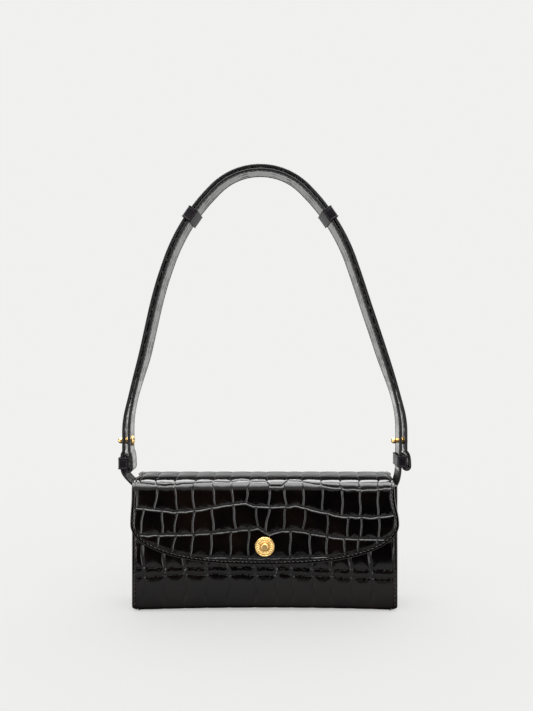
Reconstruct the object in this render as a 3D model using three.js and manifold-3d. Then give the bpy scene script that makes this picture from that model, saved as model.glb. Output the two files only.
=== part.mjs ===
// Flap wallet on a short two-layer shoulder strap, in millimetres, +Z up.
// The origin is the centre of the base's underside, +X is the viewer's right and -Y is the front.
import * as THREE from 'three';
import { mergeVertices } from 'three/addons/utils/BufferGeometryUtils.js';
import Module from 'manifold-3d';

const wasm = await Module();
wasm.setup();

// Body
const BODY_WIDTH = 197;
const BODY_DEPTH = 35;
const BODY_HEIGHT = 98; // floor to the flap's top
const PANEL_T = 2;
const LINING_T = 0.8;
const BASE_HEIGHT = 8; // how far the folded base runs up the walls
const BASE_FOLD_R = 3; // fold between base and walls
const BASE_CORNER_R = 4; // lower corners seen from the front
const FRONT_BELOW_TOP = 5; // front panel's top edge under the flap's top
const BACK_BELOW_TOP = 3;
const GUSSET_T = 1.5;
const GUSSET_INSET = 5.5; // depth of the side channel
const SEAT_GAP = 0.3; // between pieces that lie on each other
const LINING_BELOW_EDGE = 1; // linings stop under the panels' top edges

// Flap
const FLAP_T = 1.8;
const FLAP_LINING_T = 0.6;
const FLAP_ROLL_R = 6; // outer radius of the front roll
const FLAP_STANDOFF = 1.6; // room for the snap between flap and front panel
const FLAP_SPLIT_GAP = 0.3;
const FLAP_REAR_GAP = 0.3;
const FLAP_ROLL_SETBACK = { left: 0.5, right: 2.6 }; // flap's roll is this much narrower than the body
const FLAP_WAIST = { setback: 2, half: 3, ease: 6 }; // its top is narrower between the straps too
const FLAP_OVERHANG = 0.5; // flap's widest stretch beyond the body at each side
const FLAP_DROP = 63; // flap's top to its tip
const FLAP_WIDEST_DROP = 33; // flap's top to its widest line
const FLAP_FLARE = 22; // height over which it widens
const FLAP_TIP_POWER = 2.6; // fullness of the lower edge

// Snap fastener
const SNAP_UP_FROM_TIP = 14;
const SNAP_CAP_R = 7.2;
const SNAP_CAP_RISE = 2.4;
// cap's face from its middle out: share of its radius, depth under its highest point
const SNAP_CAP_FACE = [[0, 0], [0.36, 0], [0.44, 0.7], [0.52, 0.7], [0.6, 0.3], [0.88, 0.5], [1, 1.2]];
const SNAP_BARREL_R = 2.6;
const SNAP_SOCKET_R = 5.5;
const SNAP_SOCKET_T = 1.3;
const SNAP_POST_R = 1.6;
const SNAP_POST_TIP_R = 1.1;
const SNAP_CLEARANCE = 0.4;
const WASHER_T = 0.8;

// Strap
const STRAP_WIDTH = 18;
const STRAP_T = 2;
const LAYER_GAP = 1; // between the two straps on the arch
const COLLAR_GAP = 2.2; // between them at the studs
const SPREAD_LENGTH = 31; // height over which the gap grows
const STRAP_STANDOFF = 5.7; // side of the body to the middle between the straps, at the studs
const FOOT_ABOVE_TOP = 33.2; // flap's top to where the arch begins
const ARCH_DRIFT = 3.5; // arch stands this far to the left of the body's middle
const DRIFT_ABOVE_FOOT = { left: [51, 121], right: [11, 106] }; // heights over which each leg drifts
const STUD_ABOVE_TOP = 26;
const FOOT_R = 80;
const SIDE_R = 945;
const SHOULDER_R = 146;
const FOOT_LEAN = 12.3; // lean from upright where foot and side arcs meet, degrees
const SIDE_LEAN = 19.4;
const SHOULDER_LEAN = 45.3;
const PIVOT_BELOW_TOP = 16; // strap rivets under the flap's top
const STRAP_END = 8; // strap below its rivet
const TAIL_RISE = 9.5; // tail above its U-turn
const TAIL_GAP = 0.4;
const TURN_ABOVE_TOP = { left: 6, right: 7.5 }; // flap's top to the centres of the U-turns
const TURN_ROOM = 1.35; // inside a U-turn, beside its keeper
const STUD_MARGIN = 0.5; // straight strap round a stud's base
const STUD_LEAD = 2; // straight strap below that
const KEEPER_LEAD = 1; // straight strap above a lower keeper
const KEEPER_SHIFT = 0.2; // right strap's move towards the body between stud and keeper
const EASING = 2; // how gently the strap leaves and meets its straight stretches
const SWELL = { upper: 2.5, lower: 12 }; // how gently it swells above a U-turn
// where each strap bends in between the panels, above its rivet
const LEFT_BEND = { upper: 14.5, lower: 8 };
const RIGHT_BEND = { upper: 7, lower: 5.5 };
const BULGE_CLEARANCE = 0.7; // innermost strap stretch to the side of the body

// Keepers
const KEEPER_T = 1.2;
const KEEPER_LENGTH = 8.7; // lower keepers
const UPPER_KEEPER_LENGTH = 10.2;
const KEEPER_CLEARANCE = 0.35;
const KEEPER_LEAN = 34.7; // place of the upper keepers on the shoulder arc, degrees
const KEEPER_BELOW_TURN = 0.5; // keeper's lower edge under the U-turn's centre

// Studs and rivets
const STUD_POST_R = 1.3;
const STUD_HOLE_R = 1.7;
const STUD_COLLAR_R = 2.65;
const STUD_BALL_R = 2.3;
const STUD_FOOT_R = 1.95;
const STUD_NECK_R = 1.4;
const STUD_NECK = 0.6;
const STUD_BASE_R = { left: 3.9, right: 2.5 };
const STUD_BASE_T = 1.5;
const RIVET_R = 2;
const RIVET_HEAD_R = 3.2;
const RIVET_HEAD_T = 1.2;
const RIVET_CROWN_R = 1.9; // flat of the head
const RIVET_TAIL_R = 3;
const RIVET_CLEARANCE = 0.4;

// Inside
const POUCH_WIDTH = 12; // front to back
const POUCH_HEIGHT = 62;
const POUCH_WALL = 1.2;
const ZIP_TAPE_T = 0.6;
const ZIP_TAPE_HEIGHT = 11;
const ZIP_INSET = 15; // ends of the pouch's mouth to the teeth
const ZIP_PITCH = 4;
const ZIP_BEAD = 0.8;
const ZIP_TOOTH = 1;
const ZIP_TEETH_HEIGHT = 2.5;
const ZIP_STOP = 2.5;
const SLIDER_LENGTH = 9;
const SLIDER_PLATE = 1.4;
const SLIDER_EAR_T = 1;
const SLIDER_END_GAP = 4.5; // shut slider to the end of the teeth
const PULL_PIN_R = 0.8;
const PULL_LENGTH = 16;
const PULL_T = 1.6;
const PULL_EYE_WALL = 0.7;
const CARD_T = 0.8;
const CARD_INSET = 3.2; // ends of the lining to the pockets
const CARD_TOPS = { card_pocket_rear: 66, card_pocket_middle: 56, card_pocket_front: 46 };

// Places worked out from the sizes
const HALF_WIDTH = BODY_WIDTH / 2;
const HALF_DEPTH = BODY_DEPTH / 2;
const INNER_DEPTH = HALF_DEPTH - PANEL_T;
const LINED_DEPTH = INNER_DEPTH - LINING_T;
const WEB_OUTSIDE = HALF_WIDTH - GUSSET_INSET;
const WEB_INSIDE = WEB_OUTSIDE - GUSSET_T;
const INSIDE_HALF = WEB_INSIDE - SEAT_GAP;
const FRONT_TOP = BODY_HEIGHT - FRONT_BELOW_TOP;
const BACK_TOP = BODY_HEIGHT - BACK_BELOW_TOP;
const LINING_BOTTOM = BASE_FOLD_R + SEAT_GAP;
const FLAP_FACE = -(HALF_DEPTH + FLAP_STANDOFF + FLAP_LINING_T + FLAP_T);
const ROLL_Y = FLAP_FACE + FLAP_ROLL_R;
const ROLL_Z = BODY_HEIGHT - FLAP_ROLL_R;
const FLAP_REAR = HALF_DEPTH - FLAP_REAR_GAP;
const FLAP_TIP = BODY_HEIGHT - FLAP_DROP;
const SNAP_Z = FLAP_TIP + SNAP_UP_FROM_TIP;
const PIVOT_Z = BODY_HEIGHT - PIVOT_BELOW_TOP;
const FOOT_Z = BODY_HEIGHT + FOOT_ABOVE_TOP;
const STUD_Z = BODY_HEIGHT + STUD_ABOVE_TOP;
const FOOT_X = HALF_WIDTH + STRAP_STANDOFF;

// Materials
const finish = (color, roughness, metalness = 0) =>
  new THREE.MeshStandardMaterial({ color, roughness, metalness });
const PATENT = () => finish(0x0d0c0e, 0.18);
const STRAP_LEATHER = () => finish(0x1c191d, 0.42);
const LINING = () => finish(0x8e8a88, 0.8);
const POCKET = () => finish(0x161416, 0.5);
const GOLD = () => finish(0xc79a45, 0.25, 1);
const NICKEL = () => finish(0xb9b4a8, 0.3, 1);
const TAPE = () => finish(0x141315, 0.85);

// Axis frames that lay a drawn outline into the part
const X = new THREE.Vector3(1, 0, 0);
const Y = new THREE.Vector3(0, 1, 0);
const Z = new THREE.Vector3(0, 0, 1);
const CUT_MARGIN = 1; // cutting outlines run past the piece
const CURVE_STEPS = 6;
const ROUND_STEPS = 28;
const BALL_STEPS = 6;

function extrude(shape, depth) {
  return new THREE.ExtrudeGeometry(shape, { depth, bevelEnabled: false, curveSegments: CURVE_STEPS });
}

// Outline drawn in Y and Z, carried along X.
function alongX(shape, from, to) {
  const frame = new THREE.Matrix4().makeBasis(Y, Z, X).setPosition(from, 0, 0);
  return extrude(shape, to - from).applyMatrix4(frame);
}

// Outline drawn in X and Z, carried along Y.
function alongY(shape, from, to) {
  const frame = new THREE.Matrix4().makeBasis(X, Z, Y.clone().negate()).setPosition(0, to, 0);
  return extrude(shape, to - from).applyMatrix4(frame);
}

// Outline drawn in X and Y, carried along Z.
function alongZ(shape, from, to) {
  return extrude(shape, to - from).translate(0, 0, from);
}

function block(x0, x1, y0, y1, z0, z1) {
  const size = new THREE.BoxGeometry(x1 - x0, y1 - y0, z1 - z0);
  return size.translate((x0 + x1) / 2, (y0 + y1) / 2, (z0 + z1) / 2);
}

// Turned piece: pairs of radius and height, from the axis back to the axis, about Y.
function turned(profile) {
  return new THREE.LatheGeometry(profile.map(([r, h]) => new THREE.Vector2(r, h)), ROUND_STEPS);
}

function turnedAboutX(profile) {
  return turned(profile).rotateZ(-Math.PI / 2);
}

// Closed solid with its faces pointing out.
function solid(geometry) {
  const bare = geometry.clone();
  bare.deleteAttribute('normal');
  bare.deleteAttribute('uv');
  const merged = mergeVertices(bare, 1e-4);
  const corners = merged.index.array;
  const kept = [];
  for (let i = 0; i < corners.length; i += 3) {
    const [a, b, c] = corners.slice(i, i + 3);
    if (a !== b && b !== c && c !== a) kept.push(a, b, c);
  }
  const made = (triVerts) => new wasm.Manifold(new wasm.Mesh({
    numProp: 3,
    vertProperties: new Float32Array(merged.attributes.position.array),
    triVerts: new Uint32Array(triVerts),
  }));
  const first = made(kept);
  return first.volume() > 0 ? first : made(kept.slice().reverse());
}

function geometryOf(manifold) {
  const mesh = manifold.getMesh();
  const geometry = new THREE.BufferGeometry();
  geometry.setAttribute('position', new THREE.BufferAttribute(new Float32Array(mesh.vertProperties), 3));
  geometry.setIndex(new THREE.BufferAttribute(new Uint32Array(mesh.triVerts), 1));
  const flat = geometry.toNonIndexed();
  flat.computeVertexNormals();
  return flat;
}

const cut = (geometry, ...tools) =>
  geometryOf(tools.reduce((left, tool) => left.subtract(solid(tool)), solid(geometry)));
const join = (geometry, ...others) =>
  geometryOf(others.reduce((sum, other) => sum.add(solid(other)), solid(geometry)));
const common = (geometry, other) => geometryOf(solid(geometry).intersect(solid(other)));
const closed = (geometry) => geometryOf(solid(geometry));

function bodyGroup(name) {
  const group = new THREE.Group();
  group.name = name;
  return group;
}

function add(group, name, geometry, material) {
  const mesh = new THREE.Mesh(geometry, material);
  mesh.name = name;
  group.add(mesh);
  return mesh;
}

const sides = { left: -1, right: 1 };

// Outline of a tray seen from its end: flat bottom, rounded lower corners, open or closed top.
function trayOutline(half, bottom, top, radius) {
  const shape = new THREE.Shape();
  shape.moveTo(-half, top);
  shape.lineTo(-half, bottom + radius);
  shape.absarc(-half + radius, bottom + radius, radius, Math.PI, 1.5 * Math.PI, false);
  shape.absarc(half - radius, bottom + radius, radius, 1.5 * Math.PI, 2 * Math.PI, false);
  shape.lineTo(half, top);
  return shape;
}

const body = bodyGroup('body');

// Silhouette of the body from the front, which rounds its lower corners
const silhouette = () =>
  alongY(trayOutline(HALF_WIDTH, 0, BODY_HEIGHT, BASE_CORNER_R), -BODY_DEPTH, BODY_DEPTH);

// Folded base and the two walls that stand on it
function basePanel() {
  const outside = trayOutline(HALF_DEPTH, 0, BASE_HEIGHT, BASE_FOLD_R);
  const inside = trayOutline(INNER_DEPTH, PANEL_T, BODY_HEIGHT, BASE_FOLD_R - PANEL_T);
  const channel = cut(alongX(outside, -HALF_WIDTH, HALF_WIDTH), alongX(inside, -BODY_WIDTH, BODY_WIDTH));
  return common(channel, silhouette());
}
add(body, 'base_panel', basePanel(), PATENT());
add(body, 'front_panel', closed(block(
  -HALF_WIDTH, HALF_WIDTH, -HALF_DEPTH, -INNER_DEPTH, BASE_HEIGHT, FRONT_TOP)), PATENT());
add(body, 'back_panel', closed(block(
  -HALF_WIDTH, HALF_WIDTH, INNER_DEPTH, HALF_DEPTH, BASE_HEIGHT, BACK_TOP)), PATENT());

// Side gussets: pans that open outwards, sewn to the edges of the panels
function gusset(side) {
  const gap = SEAT_GAP / 2;
  const outside = trayOutline(INNER_DEPTH - gap, PANEL_T, FRONT_TOP, BASE_FOLD_R - PANEL_T + SEAT_GAP);
  const inside = trayOutline(INNER_DEPTH - gap - GUSSET_T, PANEL_T + GUSSET_T, BODY_HEIGHT, BASE_FOLD_R / 2);
  const pan = cut(
    alongX(outside, WEB_INSIDE, HALF_WIDTH),
    alongX(inside, WEB_OUTSIDE, BODY_WIDTH),
    turnedAboutX([[0, 0], [RIVET_R + RIVET_CLEARANCE, 0], [RIVET_R + RIVET_CLEARANCE, BODY_WIDTH],
      [0, BODY_WIDTH]]).translate(0, 0, PIVOT_Z),
  );
  const trimmed = common(pan, silhouette());
  return side > 0 ? trimmed : trimmed.rotateZ(Math.PI);
}
for (const [name, side] of Object.entries(sides)) add(body, `gusset_${name}`, gusset(side), PATENT());

// Linings of the walls and the floor
add(body, 'front_lining', closed(block(-INSIDE_HALF, INSIDE_HALF,
  -INNER_DEPTH, -LINED_DEPTH, LINING_BOTTOM, FRONT_TOP - LINING_BELOW_EDGE)), LINING());
add(body, 'back_lining', closed(block(-INSIDE_HALF, INSIDE_HALF,
  LINED_DEPTH, INNER_DEPTH, LINING_BOTTOM, BACK_TOP - LINING_BELOW_EDGE)), LINING());
const FLOOR_HALF = HALF_DEPTH - BASE_FOLD_R - SEAT_GAP;
add(body, 'base_lining', closed(block(-INSIDE_HALF, INSIDE_HALF,
  -FLOOR_HALF, FLOOR_HALF, PANEL_T, PANEL_T + LINING_T)), LINING());

// Open-topped divider pouch between the gusset webs
const POUCH_HALF = POUCH_WIDTH / 2;
const POUCH_BOTTOM = PANEL_T + LINING_T + SEAT_GAP;
const POUCH_INSIDE = POUCH_HALF - POUCH_WALL;
add(body, 'divider_pouch', cut(
  block(-INSIDE_HALF, INSIDE_HALF, -POUCH_HALF, POUCH_HALF, POUCH_BOTTOM, POUCH_HEIGHT),
  block(-INSIDE_HALF + POUCH_WALL, INSIDE_HALF - POUCH_WALL, -POUCH_INSIDE, POUCH_INSIDE,
    POUCH_BOTTOM + POUCH_WALL, BODY_HEIGHT),
), POCKET());

// Zip at the pouch's mouth: a tape on each wall, a row of teeth on each tape, a stop at each end
const TAPE_FACE = POUCH_INSIDE - ZIP_TAPE_T;
const TEETH_BASE = TAPE_FACE - ZIP_BEAD;
const TEETH_Z = POUCH_HEIGHT;
const TAPE_TOP = TEETH_Z + ZIP_TEETH_HEIGHT + SEAT_GAP;
const ZIP_HALF = INSIDE_HALF - POUCH_WALL - ZIP_INSET;
function teethRow() {
  const outline = [new THREE.Vector2(-ZIP_HALF, TAPE_FACE), new THREE.Vector2(-ZIP_HALF, TEETH_BASE)];
  for (let x = -ZIP_HALF; x < ZIP_HALF - ZIP_PITCH / 2; x += ZIP_PITCH) {
    outline.push(new THREE.Vector2(x + ZIP_PITCH / 4, TEETH_BASE));
    outline.push(new THREE.Vector2(x + ZIP_PITCH / 4, TEETH_BASE - ZIP_TOOTH));
    outline.push(new THREE.Vector2(x + 3 * ZIP_PITCH / 4, TEETH_BASE - ZIP_TOOTH));
    outline.push(new THREE.Vector2(x + 3 * ZIP_PITCH / 4, TEETH_BASE));
  }
  outline.push(new THREE.Vector2(ZIP_HALF, TEETH_BASE), new THREE.Vector2(ZIP_HALF, TAPE_FACE));
  return closed(alongZ(new THREE.Shape(outline), TEETH_Z, TEETH_Z + ZIP_TEETH_HEIGHT));
}
const TAPE_HALF = INSIDE_HALF - POUCH_WALL - SEAT_GAP;
for (const [name, turn] of [['front', Math.PI], ['back', 0]]) {
  const tape = block(-TAPE_HALF, TAPE_HALF, TAPE_FACE, POUCH_INSIDE, TAPE_TOP - ZIP_TAPE_HEIGHT, TAPE_TOP);
  add(body, `zip_tape_${name}`, closed(tape), TAPE()).rotation.z = turn;
  add(body, `zip_teeth_${name}`, teethRow(), NICKEL()).rotation.z = turn;
}
for (const [name, side] of Object.entries(sides)) {
  const stop = block(-ZIP_STOP / 2, ZIP_STOP / 2, -TAPE_FACE, TAPE_FACE,
    TEETH_Z, TEETH_Z + ZIP_TEETH_HEIGHT);
  const stopX = ZIP_HALF + SEAT_GAP + ZIP_STOP / 2;
  add(body, `zip_stop_${name}`, closed(stop), NICKEL()).position.x = side * stopX;
}

// Card pockets in stepped tiers on the back lining, each carried by the one behind it
const CARD_HALF = INSIDE_HALF - CARD_INSET;
Object.entries(CARD_TOPS).forEach(([name, top], tier) => {
  const back = LINED_DEPTH - SEAT_GAP - tier * (CARD_T + SEAT_GAP);
  add(body, name, closed(block(-CARD_HALF, CARD_HALF, back - CARD_T, back,
    LINING_BOTTOM, top)), POCKET());
});

// Snap post on the front panel, with its washer on the lining
add(body, 'snap_post', closed(turned([
  [0, -HALF_DEPTH - FLAP_STANDOFF - FLAP_LINING_T],
  [SNAP_POST_TIP_R, -HALF_DEPTH - FLAP_STANDOFF - FLAP_LINING_T],
  [SNAP_POST_R, -HALF_DEPTH - FLAP_STANDOFF],
  [SNAP_POST_R, -HALF_DEPTH],
  [0, -HALF_DEPTH],
])), GOLD()).position.z = SNAP_Z;
add(body, 'snap_post_washer', closed(turned([
  [0, -LINED_DEPTH], [SNAP_SOCKET_R, -LINED_DEPTH], [SNAP_SOCKET_R, -LINED_DEPTH + WASHER_T],
  [0, -LINED_DEPTH + WASHER_T],
])), NICKEL()).position.z = SNAP_Z;

// Strap rivets through the gusset webs, with washers inside
const STRAP_SEAT = WEB_OUTSIDE + RIVET_CLEARANCE;
const RIVET_SEAT = STRAP_SEAT + STRAP_T + RIVET_CLEARANCE;
const WASHER_OUTSIDE = WEB_INSIDE - SEAT_GAP;
const WASHER_INSIDE = WASHER_OUTSIDE - WASHER_T;
for (const [name, side] of Object.entries(sides)) {
  const rivet = turnedAboutX([
    [0, WASHER_INSIDE - WASHER_T - SEAT_GAP], [RIVET_TAIL_R, WASHER_INSIDE - WASHER_T - SEAT_GAP],
    [RIVET_TAIL_R, WASHER_INSIDE - SEAT_GAP], [RIVET_R, WASHER_INSIDE - SEAT_GAP],
    [RIVET_R, RIVET_SEAT], [RIVET_HEAD_R, RIVET_SEAT],
    [RIVET_CROWN_R, RIVET_SEAT + RIVET_HEAD_T], [0, RIVET_SEAT + RIVET_HEAD_T],
  ]);
  const hole = RIVET_R + SEAT_GAP;
  const washer = turnedAboutX([
    [hole, WASHER_INSIDE], [RIVET_HEAD_R, WASHER_INSIDE], [RIVET_HEAD_R, WASHER_OUTSIDE],
    [hole, WASHER_OUTSIDE], [hole, WASHER_INSIDE],
  ]);
  for (const [piece, geometry] of [[`strap_rivet_${name}`, rivet], [`rivet_washer_${name}`, washer]]) {
    const mesh = add(body, piece, closed(geometry), GOLD());
    mesh.position.z = PIVOT_Z;
    mesh.rotation.z = side > 0 ? 0 : Math.PI;
  }
}

// Flap in two stretches that meet in the middle of the front roll.
// Each layer is an L whose bend is an arc about the roll's centre.
const flapTop = bodyGroup('flap_top_body');
const flapFront = bodyGroup('flap_front_body');
const SPLIT = 0.75 * Math.PI; // middle of the roll's quarter turn
const FLAP_WIDE_HALF = HALF_WIDTH + FLAP_OVERHANG;
const SPLIT_HALF_ANGLE = FLAP_SPLIT_GAP / FLAP_ROLL_R / 2;

function flapTopSection(outer, inner) {
  const shape = new THREE.Shape();
  shape.moveTo(FLAP_REAR, ROLL_Z + outer);
  shape.absarc(ROLL_Y, ROLL_Z, outer, Math.PI / 2, SPLIT - SPLIT_HALF_ANGLE, false);
  shape.absarc(ROLL_Y, ROLL_Z, inner, SPLIT - SPLIT_HALF_ANGLE, Math.PI / 2, true);
  shape.lineTo(FLAP_REAR, ROLL_Z + inner);
  return shape;
}

function flapFrontSection(outer, inner) {
  const shape = new THREE.Shape();
  shape.absarc(ROLL_Y, ROLL_Z, outer, SPLIT + SPLIT_HALF_ANGLE, Math.PI, false);
  shape.lineTo(ROLL_Y - outer, 0);
  shape.lineTo(ROLL_Y - inner, 0);
  shape.absarc(ROLL_Y, ROLL_Z, inner, Math.PI, SPLIT + SPLIT_HALF_ANGLE, true);
  return shape;
}

// Outline made of a right and a left side, each a list of distance from the middle and place along it.
function twoSided(sideEdge) {
  const [right, left] = ['right', 'left'].map((name) => sideEdge(HALF_WIDTH - FLAP_ROLL_SETBACK[name]));
  const points = [...right, ...left.map(([x, place]) => [-x, place]).reverse()];
  return new THREE.Shape(points.map(([x, place]) => new THREE.Vector2(x, place)));
}

// Top outline: as wide as the body at the back, drawn in to a waist between the straps, then the roll's width.
const flapTopOutline = () => twoSided((rollHalf) => {
  const waistHalf = HALF_WIDTH - FLAP_WAIST.setback;
  const eased = FLAP_WAIST.half + FLAP_WAIST.ease;
  return [
    [HALF_WIDTH, FLAP_REAR + CUT_MARGIN], [HALF_WIDTH, eased], [waistHalf, FLAP_WAIST.half],
    [Math.min(waistHalf, rollHalf), -FLAP_WAIST.half], [rollHalf, -eased], [rollHalf, FLAP_FACE - CUT_MARGIN],
  ];
});

// Front outline: straight sides, a flare to the widest line, then a full curved lower edge.
const flapOutline = () => twoSided((rollHalf) => {
  const widest = BODY_HEIGHT - FLAP_WIDEST_DROP;
  const edge = [[rollHalf, BODY_HEIGHT + CUT_MARGIN]];
  for (let i = 0; i <= CURVE_STEPS; i++) {
    const t = i / CURVE_STEPS;
    const spread = THREE.MathUtils.smoothstep(t, 0, 1) * (FLAP_WIDE_HALF - rollHalf);
    edge.push([rollHalf + spread, widest + FLAP_FLARE * (1 - t)]);
  }
  for (let i = 1; i < ROUND_STEPS; i++) {
    const t = i / ROUND_STEPS * Math.PI / 2;
    const across = FLAP_WIDE_HALF * Math.pow(Math.cos(t), 2 / FLAP_TIP_POWER);
    edge.push([across, widest - (widest - FLAP_TIP) * Math.sin(t)]);
  }
  return edge;
});

const ROLL_MID_R = FLAP_ROLL_R - FLAP_T;
const ROLL_INNER_R = ROLL_MID_R - FLAP_LINING_T;
const flapPlan = alongY(flapOutline(), FLAP_FACE - CUT_MARGIN, 0);
const flapTopPlan = alongZ(flapTopOutline(), 0, BODY_HEIGHT + CUT_MARGIN);
const BARREL_HOLE_R = SNAP_BARREL_R + SNAP_CLEARANCE;
const snapHole = turned([
  [0, FLAP_FACE - CUT_MARGIN], [BARREL_HOLE_R, FLAP_FACE - CUT_MARGIN], [BARREL_HOLE_R, 0], [0, 0],
]).translate(0, 0, SNAP_Z);
for (const [suffix, outer, inner, material] of [
  ['', FLAP_ROLL_R, ROLL_MID_R, PATENT],
  ['_lining', ROLL_MID_R, ROLL_INNER_R, LINING],
]) {
  const top = common(alongX(flapTopSection(outer, inner), -BODY_WIDTH, BODY_WIDTH), flapTopPlan);
  const hanging = common(alongX(flapFrontSection(outer, inner), -BODY_WIDTH, BODY_WIDTH), flapPlan);
  add(flapTop, `flap_top${suffix}`, top, material());
  add(flapFront, `flap_front${suffix}`, cut(hanging, snapHole), material());
}

// Snap cap outside the flap, its barrel through the leather, and the socket under the lining
const CAP_FACE = FLAP_FACE - SNAP_CAP_RISE;
const LINING_FACE = FLAP_FACE + FLAP_T + FLAP_LINING_T;
const BORE_R = SNAP_POST_R + SNAP_CLEARANCE;
const BORE_END = -HALF_DEPTH - FLAP_STANDOFF - FLAP_LINING_T - SNAP_CLEARANCE;
add(flapFront, 'snap_cap', closed(turned([
  ...SNAP_CAP_FACE.map(([share, depth]) => [SNAP_CAP_R * share, CAP_FACE + depth]),
  [SNAP_CAP_R, FLAP_FACE],
  [SNAP_BARREL_R, FLAP_FACE], [SNAP_BARREL_R, LINING_FACE], [BORE_R, LINING_FACE],
  [BORE_R, BORE_END], [0, BORE_END],
])), GOLD()).position.z = SNAP_Z;
add(flapFront, 'snap_socket', closed(turned([
  [BORE_R, LINING_FACE], [SNAP_SOCKET_R, LINING_FACE],
  [SNAP_SOCKET_R - SNAP_CLEARANCE, LINING_FACE + SNAP_SOCKET_T],
  [BORE_R, LINING_FACE + SNAP_SOCKET_T], [BORE_R, LINING_FACE],
])), NICKEL()).position.z = SNAP_Z;

// Middle line between the two straps on the right half of the arch, before its drift: four tangent arcs,
// foot to crown. The crown's radius is what brings the arch to x = 0 with a level top.
const radians = THREE.MathUtils.degToRad;
const arcs = [
  { radius: FOOT_R, from: 0, to: radians(FOOT_LEAN), steps: 3 },
  { radius: SIDE_R, from: radians(FOOT_LEAN), to: radians(SIDE_LEAN), steps: 5 },
  { radius: SHOULDER_R, from: radians(SIDE_LEAN), to: radians(SHOULDER_LEAN), steps: 9 },
];
const inward = arcs.reduce((sum, a) => sum + a.radius * (Math.cos(a.from) - Math.cos(a.to)), 0);
const CROWN_R = (FOOT_X - inward) / Math.cos(radians(SHOULDER_LEAN));
arcs.push({ radius: CROWN_R, from: radians(SHOULDER_LEAN), to: Math.PI / 2, steps: 15 });
let arcX = FOOT_X;
let arcZ = FOOT_Z;
for (const arc of arcs) {
  arc.centre = new THREE.Vector2(
    arcX - arc.radius * Math.cos(arc.from), arcZ - arc.radius * Math.sin(arc.from));
  arcX = arc.centre.x + arc.radius * Math.cos(arc.to);
  arcZ = arc.centre.y + arc.radius * Math.sin(arc.to);
}

// Gap between the straps: wide at the studs, closing above them.
function gapAt(z) {
  const closing = THREE.MathUtils.smoothstep(z, FOOT_Z, FOOT_Z + SPREAD_LENGTH);
  return COLLAR_GAP + (LAYER_GAP - COLLAR_GAP) * closing;
}

// How far one leg of the arch has drifted to the left at a height.
function driftAt(z, name) {
  const [from, to] = DRIFT_ABOVE_FOOT[name].map((rise) => FOOT_Z + rise);
  return ARCH_DRIFT * THREE.MathUtils.smoothstep(z, from, to);
}

// One layer's centre line over the whole arch, from the left foot to the right one.
// It lies out (+1) or in (-1) from the middle line; the crown ends in a level facet across its middle.
function archLine(layer) {
  const half = [];
  for (const arc of arcs) {
    const crown = arc === arcs[arcs.length - 1];
    const span = crown ? arc.steps - 0.5 : arc.steps;
    for (let i = half.length ? 1 : 0; i < arc.steps + (crown ? 0 : 1); i++) {
      const lean = arc.from + (arc.to - arc.from) * i / span;
      const z = arc.centre.y + arc.radius * Math.sin(lean);
      const reach = arc.radius + layer * (gapAt(z) + STRAP_T) / 2;
      half.push(new THREE.Vector2(
        arc.centre.x + reach * Math.cos(lean), arc.centre.y + reach * Math.sin(lean)));
    }
  }
  const leg = (name, side) => half.map((p) => new THREE.Vector2(side * p.x - driftAt(p.y, name), p.y));
  return [...leg('left', -1), ...leg('right', 1).reverse()];
}

// Flat strip of leather along a line of points, one strap wide.
function strip(line) {
  const near = [];
  const far = [];
  line.forEach((point, i) => {
    const before = line[Math.max(i - 1, 0)];
    const after = line[Math.min(i + 1, line.length - 1)];
    const across = new THREE.Vector2(before.y - after.y, after.x - before.x).setLength(STRAP_T / 2);
    near.push(point.clone().add(across));
    far.push(point.clone().sub(across));
  });
  return alongY(new THREE.Shape([...near, ...far.reverse()]), -STRAP_WIDTH / 2, STRAP_WIDTH / 2);
}

// Lower ends, drawn for the right side. Each has a straight stretch at the stud.
const STUD_FLAT = Math.max(...Object.values(STUD_BASE_R)) + STUD_MARGIN;
const STANDING_Z = STUD_Z - STUD_FLAT - STUD_LEAD;
const studStretch = (x) => [STUD_Z + STUD_FLAT, STUD_Z - STUD_FLAT, STANDING_Z]
  .map((z) => new THREE.Vector2(x, z));
const END_X = STRAP_SEAT + STRAP_T / 2;
const BEND_STEPS = 10;

// Fixed end: from the stud down through its keeper, then in between the panels to the rivet.
// hold is where it passes the keeper, at the height of the other strap's U-turn.
function fixedEnd(studX, holdX, holdZ, bend) {
  const leadZ = holdZ + KEEPER_LENGTH + KEEPER_LEAD;
  const easing = new THREE.CubicBezierCurve(
    new THREE.Vector2(studX, STANDING_Z), new THREE.Vector2(studX, STANDING_Z - EASING),
    new THREE.Vector2(holdX, leadZ + EASING), new THREE.Vector2(holdX, leadZ));
  const step = new THREE.CubicBezierCurve(
    new THREE.Vector2(holdX, holdZ), new THREE.Vector2(holdX, PIVOT_Z + bend.upper),
    new THREE.Vector2(END_X, PIVOT_Z + bend.lower),
    new THREE.Vector2(END_X, PIVOT_Z + RIVET_HEAD_R));
  return [
    ...studStretch(studX), ...easing.getPoints(3).slice(1), ...step.getPoints(BEND_STEPS),
    new THREE.Vector2(END_X, PIVOT_Z - STRAP_END),
  ];
}

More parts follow.
